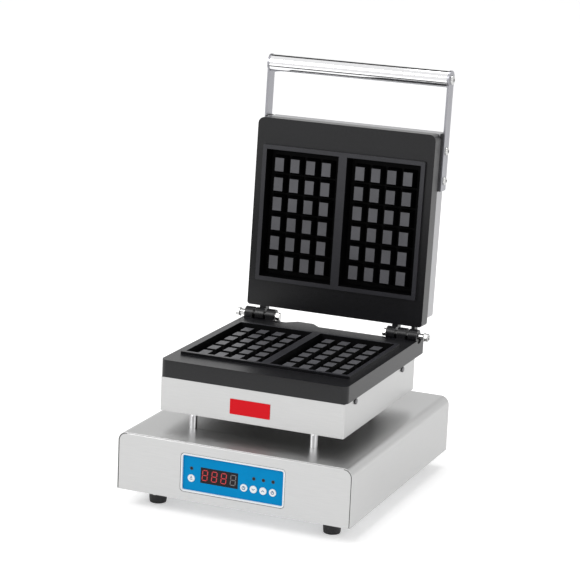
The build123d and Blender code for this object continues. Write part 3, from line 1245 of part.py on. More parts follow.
with BuildPart() as lid_cover:
    with BuildSketch(LID.offset(UNDERSIDE)):
        with Locations(COVER_PLACE):
            RectangleRounded(COVER_WIDTH, COVER_LENGTH, COVER_BEND)
    extrude(amount=-COVER_HEIGHT)
    fillet(lid_cover.faces().sort_by(Axis.Y)[-1].edges(), COVER_BEND)
    with BuildSketch(LID.offset(UNDERSIDE)):
        with Locations(COVER_PLACE):
            RectangleRounded(*COVER_HOLLOW, COVER_BEND - COVER_SHEET)
    extrude(amount=-COVER_HEIGHT + COVER_SHEET, mode=Mode.SUBTRACT)
    with BuildSketch(across(LID, -COVER_WIDTH / 2)):
        with Locations(*[(reach, -BAR_OUT) for reach in ARM_SCREW_REACH]):
            Circle(ARM_SCREW_RADIUS + HOLE_CLEARANCE)
    extrude(amount=COVER_WIDTH, mode=Mode.SUBTRACT)
    grommet_origin = LID.from_local_coords((-GROMMET_U, COVER_NEAR, -GROMMET_OUT))
    grommet_plane = Plane(origin=grommet_origin, x_dir=(1, 0, 0), z_dir=-LID.y_dir)
    with BuildSketch(grommet_plane):
        Circle(GROMMET_RADIUS - GROMMET_LIP + BOLT_CLEARANCE)
    extrude(amount=-2 * COVER_SHEET, mode=Mode.SUBTRACT)
save(lid_cover, "lid_cover")
save(grommet(grommet_plane, COVER_SHEET), "lid_grommet")

# Handle: pads, arms, a tube with end plugs, and their screws
PAD_BACK_OUT = BAR_OUT + ARM_WIDTH / 2
PAD_WIDTH = PAD_BACK_OUT - PAD_FRONT_OUT
PAD_LENGTH = PLATE_REACH - PAD_END
PAD_PLACE = (PAD_END + PAD_LENGTH / 2, -PAD_FRONT_OUT - PAD_WIDTH / 2)
SCREW_PLACES = [(reach, -BAR_OUT) for reach in ARM_SCREW_REACH]

with BuildPart() as arm_pads:
    for side in (-1, 1):
        with BuildSketch(across(LID, side * COVER_WIDTH / 2)):
            with Locations(PAD_PLACE):
                Rectangle(PAD_LENGTH, PAD_WIDTH)
            with Locations(*SCREW_PLACES):
                Circle(ARM_SCREW_RADIUS + HOLE_CLEARANCE, mode=Mode.SUBTRACT)
        extrude(amount=side * PAD_THICK)
save(arm_pads, "arm_pads")

with BuildPart() as handle_arms:
    for side in (-1, 1):
        with BuildSketch(across(LID, side * (COVER_WIDTH / 2 + PAD_THICK))):
            with Locations(((PAD_END + BAR_REACH) / 2, -BAR_OUT)):
                Rectangle(BAR_REACH - PAD_END, ARM_WIDTH)
            with Locations((BAR_REACH, -BAR_OUT)):
                Circle(ARM_HEAD_RADIUS)
            with Locations(*SCREW_PLACES):
                Circle(ARM_SCREW_RADIUS + HOLE_CLEARANCE, mode=Mode.SUBTRACT)
            with Locations((BAR_REACH, -BAR_OUT)):
                Circle(BAR_SCREW_RADIUS + HOLE_CLEARANCE, mode=Mode.SUBTRACT)
        extrude(amount=side * ARM_THICK)
save(handle_arms, "handle_arms")

BAR_HALF = COVER_WIDTH / 2 + PAD_THICK
with BuildPart() as handle_bar:
    with BuildSketch(across(LID, -BAR_HALF)):
        with Locations((BAR_REACH, -BAR_OUT)):
            Circle(BAR_RADIUS)
            Circle(BAR_RADIUS - BAR_WALL, mode=Mode.SUBTRACT)
    extrude(amount=2 * BAR_HALF)
save(handle_bar, "handle_bar")

with BuildPart() as bar_plugs:
    for side in (-1, 1):
        with BuildSketch(across(LID, side * BAR_HALF)):
            with Locations((BAR_REACH, -BAR_OUT)):
                Circle(BAR_RADIUS - BAR_WALL - PLUG_FIT)
                Circle(BAR_SCREW_RADIUS + BOLT_CLEARANCE, mode=Mode.SUBTRACT)
        extrude(amount=-side * PLUG_LENGTH)
save(bar_plugs, "bar_plugs")

with BuildPart() as handle_screws:
    for side in (-1, 1):
        arm_outside = across(LID, side * (BAR_HALF + ARM_THICK))
        with BuildSketch(arm_outside):
            with Locations((BAR_REACH, -BAR_OUT)):
                Circle(BAR_SCREW_HEAD_RADIUS)
        extrude(amount=side * BAR_SCREW_HEAD_HEIGHT)
        with BuildSketch(arm_outside):
            with Locations((BAR_REACH, -BAR_OUT)):
                Circle(BAR_SCREW_RADIUS)
        extrude(amount=-side * (ARM_THICK + BAR_SCREW_DEPTH))
        with BuildSketch(arm_outside):
            with Locations(*SCREW_PLACES):
                Circle(ARM_HEAD_SCREW_RADIUS)
        extrude(amount=side * ARM_HEAD_SCREW_HEIGHT)
        with BuildSketch(arm_outside):
            with Locations(*SCREW_PLACES):
                Circle(ARM_SCREW_RADIUS)
        extrude(amount=-side * (ARM_THICK + PAD_THICK + COVER_SHEET + SHEET_GAP + ARM_SCREW_DEPTH))
save(handle_screws, "handle_screws")
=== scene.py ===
"""Looks of a table-top waffle maker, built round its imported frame.

Every length is in metres in the model's own frame: X to the operator's right, Y to the back, Z up.
The lid stands open, so its pieces are placed through the hinge frame of `lid_point`.
"""

import logging
import math
from collections.abc import Callable, Iterable
from dataclasses import dataclass
from enum import Enum

import bmesh
import bpy
from mathutils import Matrix, Vector


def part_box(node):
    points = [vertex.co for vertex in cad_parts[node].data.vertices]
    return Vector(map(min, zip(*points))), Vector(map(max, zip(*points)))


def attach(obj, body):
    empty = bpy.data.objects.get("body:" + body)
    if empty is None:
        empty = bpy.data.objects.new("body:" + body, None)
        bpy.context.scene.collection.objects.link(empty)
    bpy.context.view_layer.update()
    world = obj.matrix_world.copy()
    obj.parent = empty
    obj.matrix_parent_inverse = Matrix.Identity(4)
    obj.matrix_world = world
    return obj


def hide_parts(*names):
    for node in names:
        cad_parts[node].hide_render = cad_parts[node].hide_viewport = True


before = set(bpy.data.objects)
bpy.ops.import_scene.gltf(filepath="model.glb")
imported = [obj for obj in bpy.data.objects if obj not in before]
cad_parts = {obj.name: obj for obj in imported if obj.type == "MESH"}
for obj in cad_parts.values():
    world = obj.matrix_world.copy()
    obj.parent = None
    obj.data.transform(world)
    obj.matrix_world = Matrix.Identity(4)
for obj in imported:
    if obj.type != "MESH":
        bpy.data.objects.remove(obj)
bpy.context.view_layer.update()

LOG = logging.getLogger("waffle_maker")

Object = bpy.types.Object
Socket = bpy.types.NodeSocket
Colour = tuple[float, float, float]
Point = tuple[float, float, float]

MERGE = 2e-6
FLAT_ANGLE = math.radians(0.4)
BREAK_ANGLE = math.radians(40.0)
SHADE_ANGLE = math.radians(50.0)
RIGHT_ANGLE = math.radians(90.0)
OPEN_ANGLE = math.radians(93.2)
AXIS = Vector((0.0, 0.12604314, 0.1944))
LID_ALONG = Vector((0, -math.cos(OPEN_ANGLE), math.sin(OPEN_ANGLE)))
LID_OUT = Vector((0, -math.sin(OPEN_ANGLE), -math.cos(OPEN_ANGLE)))
BASE_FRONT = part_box("base_shell")[0].y
PANEL_LEFT = -0.0725
PANEL_TOP = 0.087


class Side(Enum):
    """The two sides of the machine, as the sign of X."""

    LEFT = -1
    RIGHT = 1


class Grain(Enum):
    """How the polishing lines of a sheet run."""

    ALONG = "along"
    UPRIGHT = "upright"


class CastingZone(Enum):
    """The zones of a casting, among them a painted highlight and painted shade, as the place of their
    finish in its list.
    """

    PLAIN = 0
    PAINTED_HIGHLIGHT = 1
    LAND = 2
    PAINTED_WELL_SHADE = 3


def only(piece: Object) -> None:
    """Select one object alone and make it the active one.

    Args:
        piece: The object to work on.
    """
    bpy.ops.object.select_all(action="DESELECT")
    piece.select_set(True)
    bpy.context.view_layer.objects.active = piece


def edit(piece: Object, choose: Callable[[bmesh.types.BMesh], Iterable],
         *steps: Callable[[], object]) -> None:
    """Run edit-mode operators on the parts of a mesh that a rule picks.

    Args:
        piece: The mesh object.
        choose: Takes the mesh and returns the vertices, edges or faces to select.
        steps: Calls of operators, run in turn on the selection.
    """
    only(piece)
    bpy.ops.object.mode_set(mode="EDIT")
    bpy.ops.mesh.select_all(action="DESELECT")
    mesh = bmesh.from_edit_mesh(piece.data)
    chosen = list(choose(mesh))
    mode = {bmesh.types.BMVert: "VERT", bmesh.types.BMEdge: "EDGE", bmesh.types.BMFace: "FACE"}
    if chosen:
        bpy.ops.mesh.select_mode(type=mode[type(chosen[0])])
        mesh = bmesh.from_edit_mesh(piece.data)
        for part in choose(mesh):
            part.select_set(True)
        mesh.select_flush_mode()
        bmesh.update_edit_mesh(piece.data)
    for step in steps:
        step()
    bpy.ops.mesh.select_mode(type="VERT")
    bpy.ops.object.mode_set(mode="OBJECT")


def everything(mesh: bmesh.types.BMesh) -> list[bmesh.types.BMVert]:
    """All the vertices of a mesh."""
    return list(mesh.verts)


def all_faces(mesh: bmesh.types.BMesh) -> list[bmesh.types.BMFace]:
    """All the faces of a mesh."""
    return list(mesh.faces)


def modify(piece: Object, kind: str, **settings: object) -> None:
    """Add a modifier with its settings and apply it.

    Args:
        piece: The mesh object.
        kind: The modifier's type.
        settings: Its properties by name.
    """
    only(piece)
    modifier = piece.modifiers.new(kind.lower(), kind)
    for key, value in settings.items():
        setattr(modifier, key, value)
    bpy.ops.object.modifier_apply(modifier=modifier.name)


def settle(piece: Object, matrix: Matrix | None = None) -> Object:
    """Put a piece's place, turn and scale into its mesh.

    Args:
        piece: The mesh object.
        matrix: A further placement in the model's frame.

    Returns:
        The same object, at the origin.
    """
    bpy.context.view_layer.update()
    if matrix is not None:
        piece.matrix_world = matrix @ piece.matrix_world
    only(piece)
    bpy.ops.object.transform_apply(location=True, rotation=True, scale=True)
    return piece


def smooth(piece: Object, angle: float = SHADE_ANGLE) -> None:
    """Shade a piece smooth except over its sharp edges.

    Args:
        piece: The mesh object.
        angle: The sharp angle in radians.
    """
    only(piece)
    bpy.ops.object.shade_smooth_by_angle(angle=angle)


def join(name: str, parts: list[Object]) -> Object:
    """Join several meshes into one named piece.

    Args:
        name: The new name.
        parts: The objects to join.

    Returns:
        The joined object.
    """
    only(parts[0])
    for part in parts:
        part.select_set(True)
    bpy.ops.object.join()
    parts[0].name = parts[0].data.name = name
    return parts[0]


def repeat(piece: Object, places: Iterable[Matrix]) -> list[Object]:
    """Copy a finished piece to each place, each copy with a mesh of its own.

    Args:
        piece: The first piece, which is used up.
        places: One matrix for each copy.

    Returns:
        The copies.
    """
    copies = []
    for index, matrix in enumerate(places):
        copy = bpy.data.objects.new(f"{piece.name}_{index}", piece.data.copy())
        bpy.context.scene.collection.objects.link(copy)
        copies.append(settle(copy, matrix))
    bpy.data.objects.remove(piece)
    return copies


def mm(length: float) -> float:
    """Millimetres as metres."""
    return length / 1000


def lid_point(u: float, v: float, w: float) -> Vector:
    """A point of the open lid.

    Args:
        u: Distance to the right.
        v: Distance from the hinge axis along the plate.
        w: Distance out of the working face.

    Returns:
        The point in the model's frame.
    """
    return AXIS + Vector((u, 0, 0)) + LID_ALONG * v + LID_OUT * w


def panel_point(x: float, y: float, depth: float) -> Vector:
    """A point of the control panel.

    Args:
        x: Distance in millimetres from the opening's left edge.
        y: Distance in millimetres below the opening's top edge.
        depth: Depth in millimetres behind the base's front.

    Returns:
        The point in the model's frame.
    """
    return Vector((PANEL_LEFT + mm(x), BASE_FRONT + mm(depth), PANEL_TOP - mm(y)))


def sideways(place: Vector, side: Side) -> Matrix:
    """The placement that points a piece's +Z out of one side of the machine."""
    return Matrix.Translation(place) @ Matrix.Rotation(RIGHT_ANGLE * side.value, 4, "Y")


def frontways(place: Vector) -> Matrix:
    """The placement that points a piece's +Z to the front, with its +Y up."""
    return Matrix.Translation(place) @ Matrix.Rotation(RIGHT_ANGLE, 4, "X")


class Graph:
    """The node graph of one finish, with its shader and coordinates ready."""

    def __init__(self, name: str) -> None:
        """Make the material.

        Args:
            name: The material's name.
        """
        self.material = bpy.data.materials.new(name)
        self.material.use_nodes = True
        self.tree = self.material.node_tree
        self.shader = self.tree.nodes["Principled BSDF"]
        self.place = self.tree.nodes.new("ShaderNodeTexCoord").outputs["Object"]

    def add(self, kind: str, **settings: object) -> bpy.types.Node:
        """Add a node and set its properties.

        Args:
            kind: The node's type.
            settings: Its properties by name.

        Returns:
            The node.
        """
        node = self.tree.nodes.new(kind)
        for key, value in settings.items():
            setattr(node, key, value)
        return node

    def feed(self, target: Socket, value: Socket | float | Colour) -> None:
        """Link a socket, or set a plain value on it.

        Args:
            target: The socket to fill.
            value: Another node's socket, a number or a colour.
        """
        if isinstance(value, bpy.types.NodeSocket):
            self.tree.links.new(value, target)
        elif isinstance(value, tuple) and len(target.default_value) == 4:
            target.default_value = (*value, 1.0)
        else:
            target.default_value = value

    def set(self, **values: Socket | float | Colour) -> None:
        """Set the shader's own sockets; an underscore stands for a space."""
        for name, value in values.items():
            self.feed(self.shader.inputs[name.replace("_", " ")], value)

    def noise(self, scale: float, detail: float = 3.0, stretch: Point = (1.0, 1.0, 1.0)) -> Socket:
        """A noise pattern over the object.

        Args:
            scale: Features to a metre.
            detail: How many finer layers it has.
            stretch: A factor on the scale along each axis.

        Returns:
            The pattern's value, from 0 to 1.
        """
        mapping = self.add("ShaderNodeMapping")
        self.feed(mapping.inputs["Vector"], self.place)
        mapping.inputs["Scale"].default_value = stretch
        noise = self.add("ShaderNodeTexNoise")
        self.feed(noise.inputs["Vector"], mapping.outputs[0])
        noise.inputs["Scale"].default_value = scale
        noise.inputs["Detail"].default_value = detail
        return noise.outputs[0]

    def cells(self, scale: float) -> Socket:
        """A scatter of points, such as specks in a coating.

        Args:
            scale: Points to a metre.

        Returns:
            The distance to the nearest point.
        """
        voronoi = self.add("ShaderNodeTexVoronoi")
        self.feed(voronoi.inputs["Vector"], self.place)
        voronoi.inputs["Scale"].default_value = scale
        return voronoi.outputs["Distance"]

    def range(self, value: Socket, low: float, high: float, start: float = 0.3,
              end: float = 0.7) -> Socket:
        """Map a pattern to another range.

        Args:
            value: The pattern.
            low: The result at start.
            high: The result at end.
            start: The pattern's value that gives low.
            end: The pattern's value that gives high.

        Returns:
            The mapped pattern.
        """
        node = self.add("ShaderNodeMapRange")
        for key, number in (("From Min", start), ("From Max", end), ("To Min", low), ("To Max", high)):
            node.inputs[key].default_value = number
        self.feed(node.inputs["Value"], value)
        return node.outputs[0]

    def mix(self, share: Socket, first: Socket | float | Colour, second: Socket | float | Colour,
            kind: str = "RGBA") -> Socket:
        """Mix two colours, or two numbers with kind FLOAT.

        Args:
            share: The second one's share.
            first: The colour or number at a share of 0.
            second: The colour or number at a share of 1.
            kind: RGBA or FLOAT.

        Returns:
            The mixture.
        """
        node = self.add("ShaderNodeMix", data_type=kind)
        start = {"FLOAT": 2, "RGBA": 6}[kind]
        self.feed(node.inputs[0], share)
        self.feed(node.inputs[start], first)
        self.feed(node.inputs[start + 1], second)
        return node.outputs[{"FLOAT": 0, "RGBA": 2}[kind]]

    def bump(self, height: Socket, depth: float, strength: float, under: Socket | None = None) -> Socket:
        """Turn a pattern into relief.

        Args:
            height: The pattern.
            depth: Its depth in metres.
            strength: How much of it counts.
            under: The normal of a coarser relief below it.

        Returns:
            The normal.
        """
        node = self.add("ShaderNodeBump")
        node.inputs["Strength"].default_value = strength
        node.inputs["Distance"].default_value = depth
        self.feed(node.inputs["Height"], height)
        if under is not None:
            self.feed(node.inputs["Normal"], under)
        return node.outputs[0]

    def facing_side(self) -> Socket:
        """Tell the sides of the machine from its top, front and back.

        Returns:
            1 where a surface faces left or right, and 0 elsewhere.
        """
        geometry = self.add("ShaderNodeNewGeometry")
        split = self.add("ShaderNodeSeparateXYZ")
        self.feed(split.inputs[0], geometry.outputs["True Normal"])
        size = self.add("ShaderNodeMath", operation="ABSOLUTE")
        self.feed(size.inputs[0], split.outputs[0])
        return self.range(size.outputs[0], 0.0, 1.0, 0.6, 0.8)


def shade(colour: Colour, factor: float) -> Colour:
    """A colour made lighter or darker."""
    return tuple(min(1.0, channel * factor) for channel in colour)


def around(middle: float, spread: float) -> tuple[float, float]:
    """The limits of a range round its middle."""
    return middle - spread, middle + spread


@dataclass(frozen=True)
class BrushedSheet:
    """Stainless sheet with fine polishing lines, faint clouds and rubbed patches."""

    name: str
    colour: Colour
    roughness: float
    spread: float
    line: float = 2600.0
    grain: Grain = Grain.ALONG
    stretch: float = 0.02
    cloud: float = 9.0
    relief: float = 0.000008

    def make(self) -> bpy.types.Material:
        """Build the material."""
        g = Graph(self.name)
        upright = (1.0, 1.0, self.stretch)
        level = (self.stretch, 1.0, 1.0) if self.grain is Grain.ALONG else upright
        sides = (1.0, self.stretch, 1.0) if self.grain is Grain.ALONG else upright
        lines = g.mix(g.facing_side(), g.noise(self.line, 2.0, level), g.noise(self.line, 2.0, sides),
                      "FLOAT")
        clouds = g.noise(self.cloud, 4.0)
        tone = g.mix(g.range(lines, 0.0, 1.0), shade(self.colour, 0.95), shade(self.colour, 1.04))
        g.set(Metallic=1.0,
              Base_Color=g.mix(g.range(clouds, 0.0, 0.3), tone, shade(self.colour, 0.97)),
              Roughness=g.range(g.mix(g.range(clouds, 0.1, 0.3), lines, clouds, "FLOAT"),
                                *around(self.roughness, self.spread)),
              Normal=g.bump(lines, self.relief, 0.25))
        return g.material


@dataclass(frozen=True)
class Plating:
    """Polished or plated metal with rubbed spots and fine scratches."""

    name: str
    colour: Colour
    roughness: float
    spread: float
    relief: float = 0.000004
    rub: float = 160.0
    scratch: float = 1500.0
    stretch: Point = (0.06, 1.0, 1.0)

    def make(self) -> bpy.types.Material:
        """Build the material."""
        g = Graph(self.name)
        rubs = g.noise(self.rub, 5.0)
        scratches = g.noise(self.scratch, 2.0, self.stretch)
        roughest = self.roughness + self.spread
        g.set(Metallic=1.0,
              Base_Color=g.mix(g.range(rubs, 0.0, 1.0), shade(self.colour, 0.93), self.colour),
              Roughness=g.mix(g.range(scratches, 0.0, 0.5), g.range(rubs, self.roughness, roughest),
                              roughest, "FLOAT"),
              Normal=g.bump(scratches, self.relief, 0.5))
        return g.material


@dataclass(frozen=True)
class CastCoating:
    """Baked non-stick coating on a casting: fine lighter specks over an even dark ground."""

    name: str
    ground: Colour
    speck: Colour
    roughness: float
    gloss: float
    specks: float = 1500.0
    patches: float = 420.0
    cloud: float = 22.0
    sand: float = 2400.0
    pebbles: float = 260.0
    relief: tuple[float, float] = (0.00002, 0.0001)

    def make(self) -> bpy.types.Material:
        """Build the material."""
        g = Graph(self.name)
        specks = g.range(g.cells(self.specks), 1.0, 0.0, 0.12, 0.3)
        some = g.range(g.noise(self.patches, 2.0), 0.0, 1.0, 0.5, 0.62)
        chosen = g.add("ShaderNodeMath", operation="MULTIPLY")
        g.feed(chosen.inputs[0], specks)
        g.feed(chosen.inputs[1], some)
        clouds = g.noise(self.cloud, 4.0)
        ground = g.mix(g.range(clouds, 0.0, 1.0), shade(self.ground, 0.85), shade(self.ground, 1.2))
        sand = g.noise(self.sand, 3.0)
        fine, coarse = self.relief
        g.set(Base_Color=g.mix(chosen.outputs[0], ground, self.speck),
              Roughness=g.range(sand, self.roughness - 0.07, self.roughness + 0.1),
              Specular_IOR_Level=self.gloss,
              Normal=g.bump(sand, fine, 0.5, g.bump(g.noise(self.pebbles, 3.0), coarse, 0.2)))
        return g.material


@dataclass(frozen=True)
class Moulding:
    """Plastic, rubber, board or lacquer: an even colour with its own grain and gloss."""

    name: str
    colour: Colour
    roughness: float
    grain: float
    depth: float
    tone: float
    stretch: Point = (1.0, 1.0, 1.0)
    gloss: float = 0.5
    cloud: float = 30.0
    spread: float = 0.06

    def make(self) -> bpy.types.Material:
        """Build the material."""
        g = Graph(self.name)
        grain = g.noise(self.grain, 3.0, self.stretch)
        clouds = g.noise(self.cloud)
        dark, pale = (shade(self.colour, factor) for factor in around(1.0, self.tone))
        base = g.mix(g.range(clouds, 0.0, 1.0), dark, pale)
        g.set(Base_Color=g.mix(g.range(grain, 0.0, 0.3), base, shade(self.colour, 1 - 2 * self.tone)),
              Roughness=g.range(grain, *around(self.roughness, self.spread)),
              Specular_IOR_Level=self.gloss,
              Normal=g.bump(grain, self.depth, 0.4))
        return g.material


@dataclass(frozen=True)
class Glow:
    """A lit segment: coloured light behind a slightly uneven diffuser."""

    name: str
    colour: Colour
    strength: float
    cloud: float = 900.0

    def make(self) -> bpy.types.Material:
        """Build the material."""
        g = Graph(self.name)
        clouds = g.noise(self.cloud, 2.0)
        lit = g.mix(g.range(clouds, 0.0, 1.0), shade(self.colour, 0.85), self.colour)
        g.set(Base_Color=lit, Emission_Color=lit, Emission_Strength=self.strength,
              Roughness=g.range(clouds, 0.3, 0.42))
        return g.material


@dataclass(frozen=True)
class CircuitBoard:
    """Green solder mask with faint copper tracks."""

    name: str
    mask: Colour = (0.015, 0.16, 0.06)
    track: Colour = (0.05, 0.3, 0.12)
    pitch: float = 110.0
    wander: float = 2.5
    haze: float = 700.0
    relief: float = 0.00003

    def make(self) -> bpy.types.Material:
        """Build the material."""
        g = Graph(self.name)
        wave = g.add("ShaderNodeTexWave", wave_type="BANDS", bands_direction="X")
        g.feed(wave.inputs["Vector"], g.place)
        wave.inputs["Scale"].default_value = self.pitch
        wave.inputs["Distortion"].default_value = self.wander
        tracks = g.range(wave.outputs["Fac"], 0.0, 1.0, 0.62, 0.7)
        g.set(Base_Color=g.mix(tracks, self.mask, self.track),
              Roughness=g.range(g.noise(self.haze), 0.25, 0.4),
              Normal=g.bump(tracks, self.relief, 0.5))
        return g.material


@dataclass(frozen=True)
class Blanket:
    """Mineral fibre: a pale felt of tangled threads."""

    name: str
    colour: Colour = (0.72, 0.69, 0.6)
    thread: float = 700.0
    stretch: Point = (0.3, 1.0, 1.0)
    relief: float = 0.0006

    def make(self) -> bpy.types.Material:
        """Build the material."""
        g = Graph(self.name)
        threads = g.noise(self.thread, 6.0, self.stretch)
        g.set(Base_Color=g.mix(g.range(threads, 0.0, 1.0), shade(self.colour, 0.75), self.colour),
              Roughness=g.range(threads, 0.85, 0.98),
              Normal=g.bump(threads, self.relief, 0.7))
        return g.material


STEEL = BrushedSheet("satin_stainless", (0.5, 0.5, 0.498), 0.32, 0.03)
COVER_STEEL = BrushedSheet("cover_stainless", (0.4, 0.4, 0.41), 0.36, 0.05, 2200.0, Grain.UPRIGHT)
ARM_STEEL = BrushedSheet("arm_stainless", (0.33, 0.33, 0.355), 0.3, 0.05, 1800.0, Grain.UPRIGHT)
# Painted shade: a near-black sheet for the body's floor, the shaded underside that the base's top mirrors.
PAINTED_UNDERSIDE_SHADE = BrushedSheet("underside_painted_shade", (0.07, 0.067, 0.064), 0.5, 0.1, 900.0)
SHEET = BrushedSheet("galvanised_sheet", (0.5, 0.51, 0.52), 0.45, 0.1, 900.0)
CHROME = Plating("bright_chrome", (0.86, 0.86, 0.87), 0.05, 0.02, 0.000001)
ZINC = Plating("zinc_plate", (0.7, 0.7, 0.68), 0.2, 0.15, 0.00001)
BRIGHT = Plating("bright_steel", (0.55, 0.55, 0.545), 0.1, 0.06, 0.000003)
DARK_SCREW = Plating("blackened_steel", (0.13, 0.13, 0.135), 0.3, 0.12, 0.00001)
ELEMENT = Plating("oxidised_tube", (0.22, 0.2, 0.19), 0.45, 0.2, 0.00002)
BRASS = Plating("turned_brass", (0.75, 0.56, 0.26), 0.25, 0.12)
COATING = CastCoating("speckled_coating", (0.003, 0.003, 0.004), (0.035, 0.035, 0.04), 0.32, 0.38)
# Painted highlight: a lighter coating for the castings' block tops and rim bevels, where light catches
# them.
PAINTED_HIGHLIGHT = CastCoating("painted_highlight_coating", (0.075, 0.075, 0.083), (0.15, 0.15, 0.165), 0.42, 0.5)
LAND = CastCoating("rim_coating", (0.016, 0.016, 0.02), (0.06, 0.06, 0.07), 0.36, 0.45)
# Painted shade: a darker, less glossy coating for the wells between the blocks.
PAINTED_WELL_SHADE = CastCoating("painted_well_shade", (0.001, 0.001, 0.0012), (0.006, 0.006, 0.007), 0.5, 0.06)
RUBBER = Moulding("black_rubber", (0.016, 0.016, 0.017), 0.62, 1200.0, 0.00005, 0.15)
PAD = Moulding("black_board", (0.012, 0.012, 0.013), 0.55, 900.0, 0.00004, 0.15, (0.2, 1.0, 1.0))
WHITE = Moulding("white_plastic", (0.83, 0.85, 0.87), 0.32, 1800.0, 0.00001, 0.02)
CERAMIC = Moulding("glazed_ceramic", (0.8, 0.79, 0.75), 0.25, 500.0, 0.00002, 0.04)
FOIL = Moulding("blue_foil", (0.0, 0.25, 0.56), 0.4, 2600.0, 0.000006, 0.03, gloss=0.06)
WINDOW = Moulding("tinted_window", (0.006, 0.005, 0.007), 0.25, 700.0, 0.000003, 0.1, gloss=0.2)
LENS = Moulding("lamp_lens", (0.006, 0.004, 0.005), 0.2, 900.0, 0.000004, 0.1, gloss=0.2)
CASE = Moulding("black_case", (0.02, 0.02, 0.022), 0.4, 1100.0, 0.00002, 0.1)
BADGE = Moulding("red_lacquer", (0.72, 0.006, 0.014), 0.34, 420.0, 0.000004, 0.02, gloss=0.12)
PRINT = Moulding("printed_mark", (0.05, 0.16, 0.3), 0.45, 2200.0, 0.000004, 0.05)
UNLIT = Moulding("unlit_segment", (0.17, 0.16, 0.17), 0.4, 1500.0, 0.000004, 0.05)
LIT = Glow("lit_segment", (0.55, 0.025, 0.035), 0.2)
BOARD = CircuitBoard("circuit_board")
FIBRE = Blanket("fibre_blanket")

Finish = BrushedSheet | Plating | CastCoating | Moulding | Glow | CircuitBoard | Blanket
MADE: dict[str, bpy.types.Material] = {}


def material(finish: Finish) -> bpy.types.Material:
    """A finish's material, made once and shared."""
    if finish.name not in MADE:
        MADE[finish.name] = finish.make()
    return MADE[finish.name]


def dress(piece: Object, finish: Finish) -> None:
    """Give a piece its finish.

    Args:
        piece: A new piece or a node of the frame.
        finish: The finish to use.
    """
    if piece.data.materials:
        for index in range(len(piece.data.materials)):
            piece.data.materials[index] = material(finish)
    else:
        piece.data.materials.append(material(finish))


def deliver(piece: Object, body: str, finish: Finish, node: str = "") -> None:
    """Finish a piece: dress it, hang it on its body and report it.

    Args:
        piece: The piece, with its place in its mesh.
        body: The body that it rides on.
        finish: Its finish.
        node: The node that it stands for, if any.
    """
    dress(piece, finish)
    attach(piece, body)
    if node:
        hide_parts(node)
    LOG.info("%s: %d faces on %s", piece.name, len(piece.data.polygons), body)


def softened(name: str, node: str, edge: float, segments: int = 2) -> Object:
    """A copy of a node whose sharp edges are broken, as on a real part.

    Args:
        name: The copy's name.
        node: The node to copy.
        edge: Width of the broken edge.
        segments: Steps across it.

    Returns:
        The copy, closed and shaded.
    """
    piece = bpy.data.objects.new(name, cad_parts[node].data.copy())
    bpy.context.scene.collection.objects.link(piece)
    piece.data.materials.clear()
    edit(piece, everything,
         lambda: bpy.ops.mesh.remove_doubles(threshold=MERGE),
         lambda: bpy.ops.mesh.dissolve_limited(angle_limit=FLAT_ANGLE))
    edit(piece, all_faces, lambda: bpy.ops.mesh.vert_connect_concave())
    modify(piece, "BEVEL", width=edge, segments=segments, limit_method="ANGLE",
           angle_limit=BREAK_ANGLE, use_clamp_overlap=True, miter_outer="MITER_ARC")
    smooth(piece)
    modify(piece, "WEIGHTED_NORMAL", keep_sharp=True, weight=100)
    return piece


def refine(name: str, node: str, edge: float, body: str, finish: Finish,
           segments: int = 2) -> Object:
    """Put a softened and dressed copy in a node's place.

    Args:
        name: The copy's name.
        node: The node to copy and replace.
        edge: Width of its broken edges.
        body: The body that it rides on.
        finish: Its finish.
        segments: Steps across a broken edge.

    Returns:
        The copy.
    """
    piece = softened(name, node, edge, segments)
    deliver(piece, body, finish, node)
    return piece


def primitive(name: str, add: Callable[..., object], **settings: object) -> Object:
    """Add one primitive with nothing else selected.

    Args:
        name: Its name.
        add: The operator that adds it.
        settings: The operator's settings.

    Returns:
        The new object.
    """
    bpy.ops.object.select_all(action="DESELECT")
    add(**settings)
    piece = bpy.context.active_object
    piece.name = piece.data.name = name
    return piece


def hollow(piece: Object, width: float) -> None:
    """Leave only a band of a flat piece, along its outline."""
    edit(piece, all_faces,
         lambda: bpy.ops.mesh.inset(thickness=width),
         lambda: bpy.ops.mesh.delete(type="FACE"))


def thicken(piece: Object, thick: float) -> Object:
    """Raise a flat piece along Z into a closed solid.

    Args:
        piece: The flat piece.
        thick: Its new thickness.

    Returns:
        The same piece.
    """
    edit(piece, all_faces,
         lambda: bpy.ops.mesh.extrude_region_move(TRANSFORM_OT_translate={"value": (0, 0, thick)}),
         lambda: bpy.ops.mesh.select_all(action="SELECT"),
         lambda: bpy.ops.mesh.normals_make_consistent(inside=False))
    return piece


def disc(name: str, radius: float, thick: float, vertices: int, edge: float = 0.0) -> Object:
    """A round plate on the XY plane with a broken front edge.

    Args:
        name: Its name.
        radius: Its radius.
        thick: Its thickness, up from Z 0.
        vertices: How many sides it has.
        edge: Width of the broken edge.

    Returns:
        The piece.
    """
    piece = settle(primitive(name, bpy.ops.mesh.primitive_cylinder_add, vertices=vertices, radius=radius,
                             depth=thick, location=(0, 0, thick / 2)))
    if edge:
        edit(piece, lambda m: [e for e in m.edges if all(v.co.z > thick / 2 for v in e.verts)],
             lambda: bpy.ops.mesh.bevel(offset=edge, segments=4, affect="EDGES"))
    return piece


def ring(name: str, radius: float, width: float, thick: float) -> Object:
    """A flat ring on the XY plane.

    Args:
        name: Its name.
        radius: Its outer radius.
        width: Width of the band.
        thick: Its thickness, up from Z 0.

    Returns:
        The piece.
    """
    piece = primitive(name, bpy.ops.mesh.primitive_circle_add, vertices=28, radius=radius, fill_type="NGON")
    hollow(piece, width)
    return thicken(piece, thick)


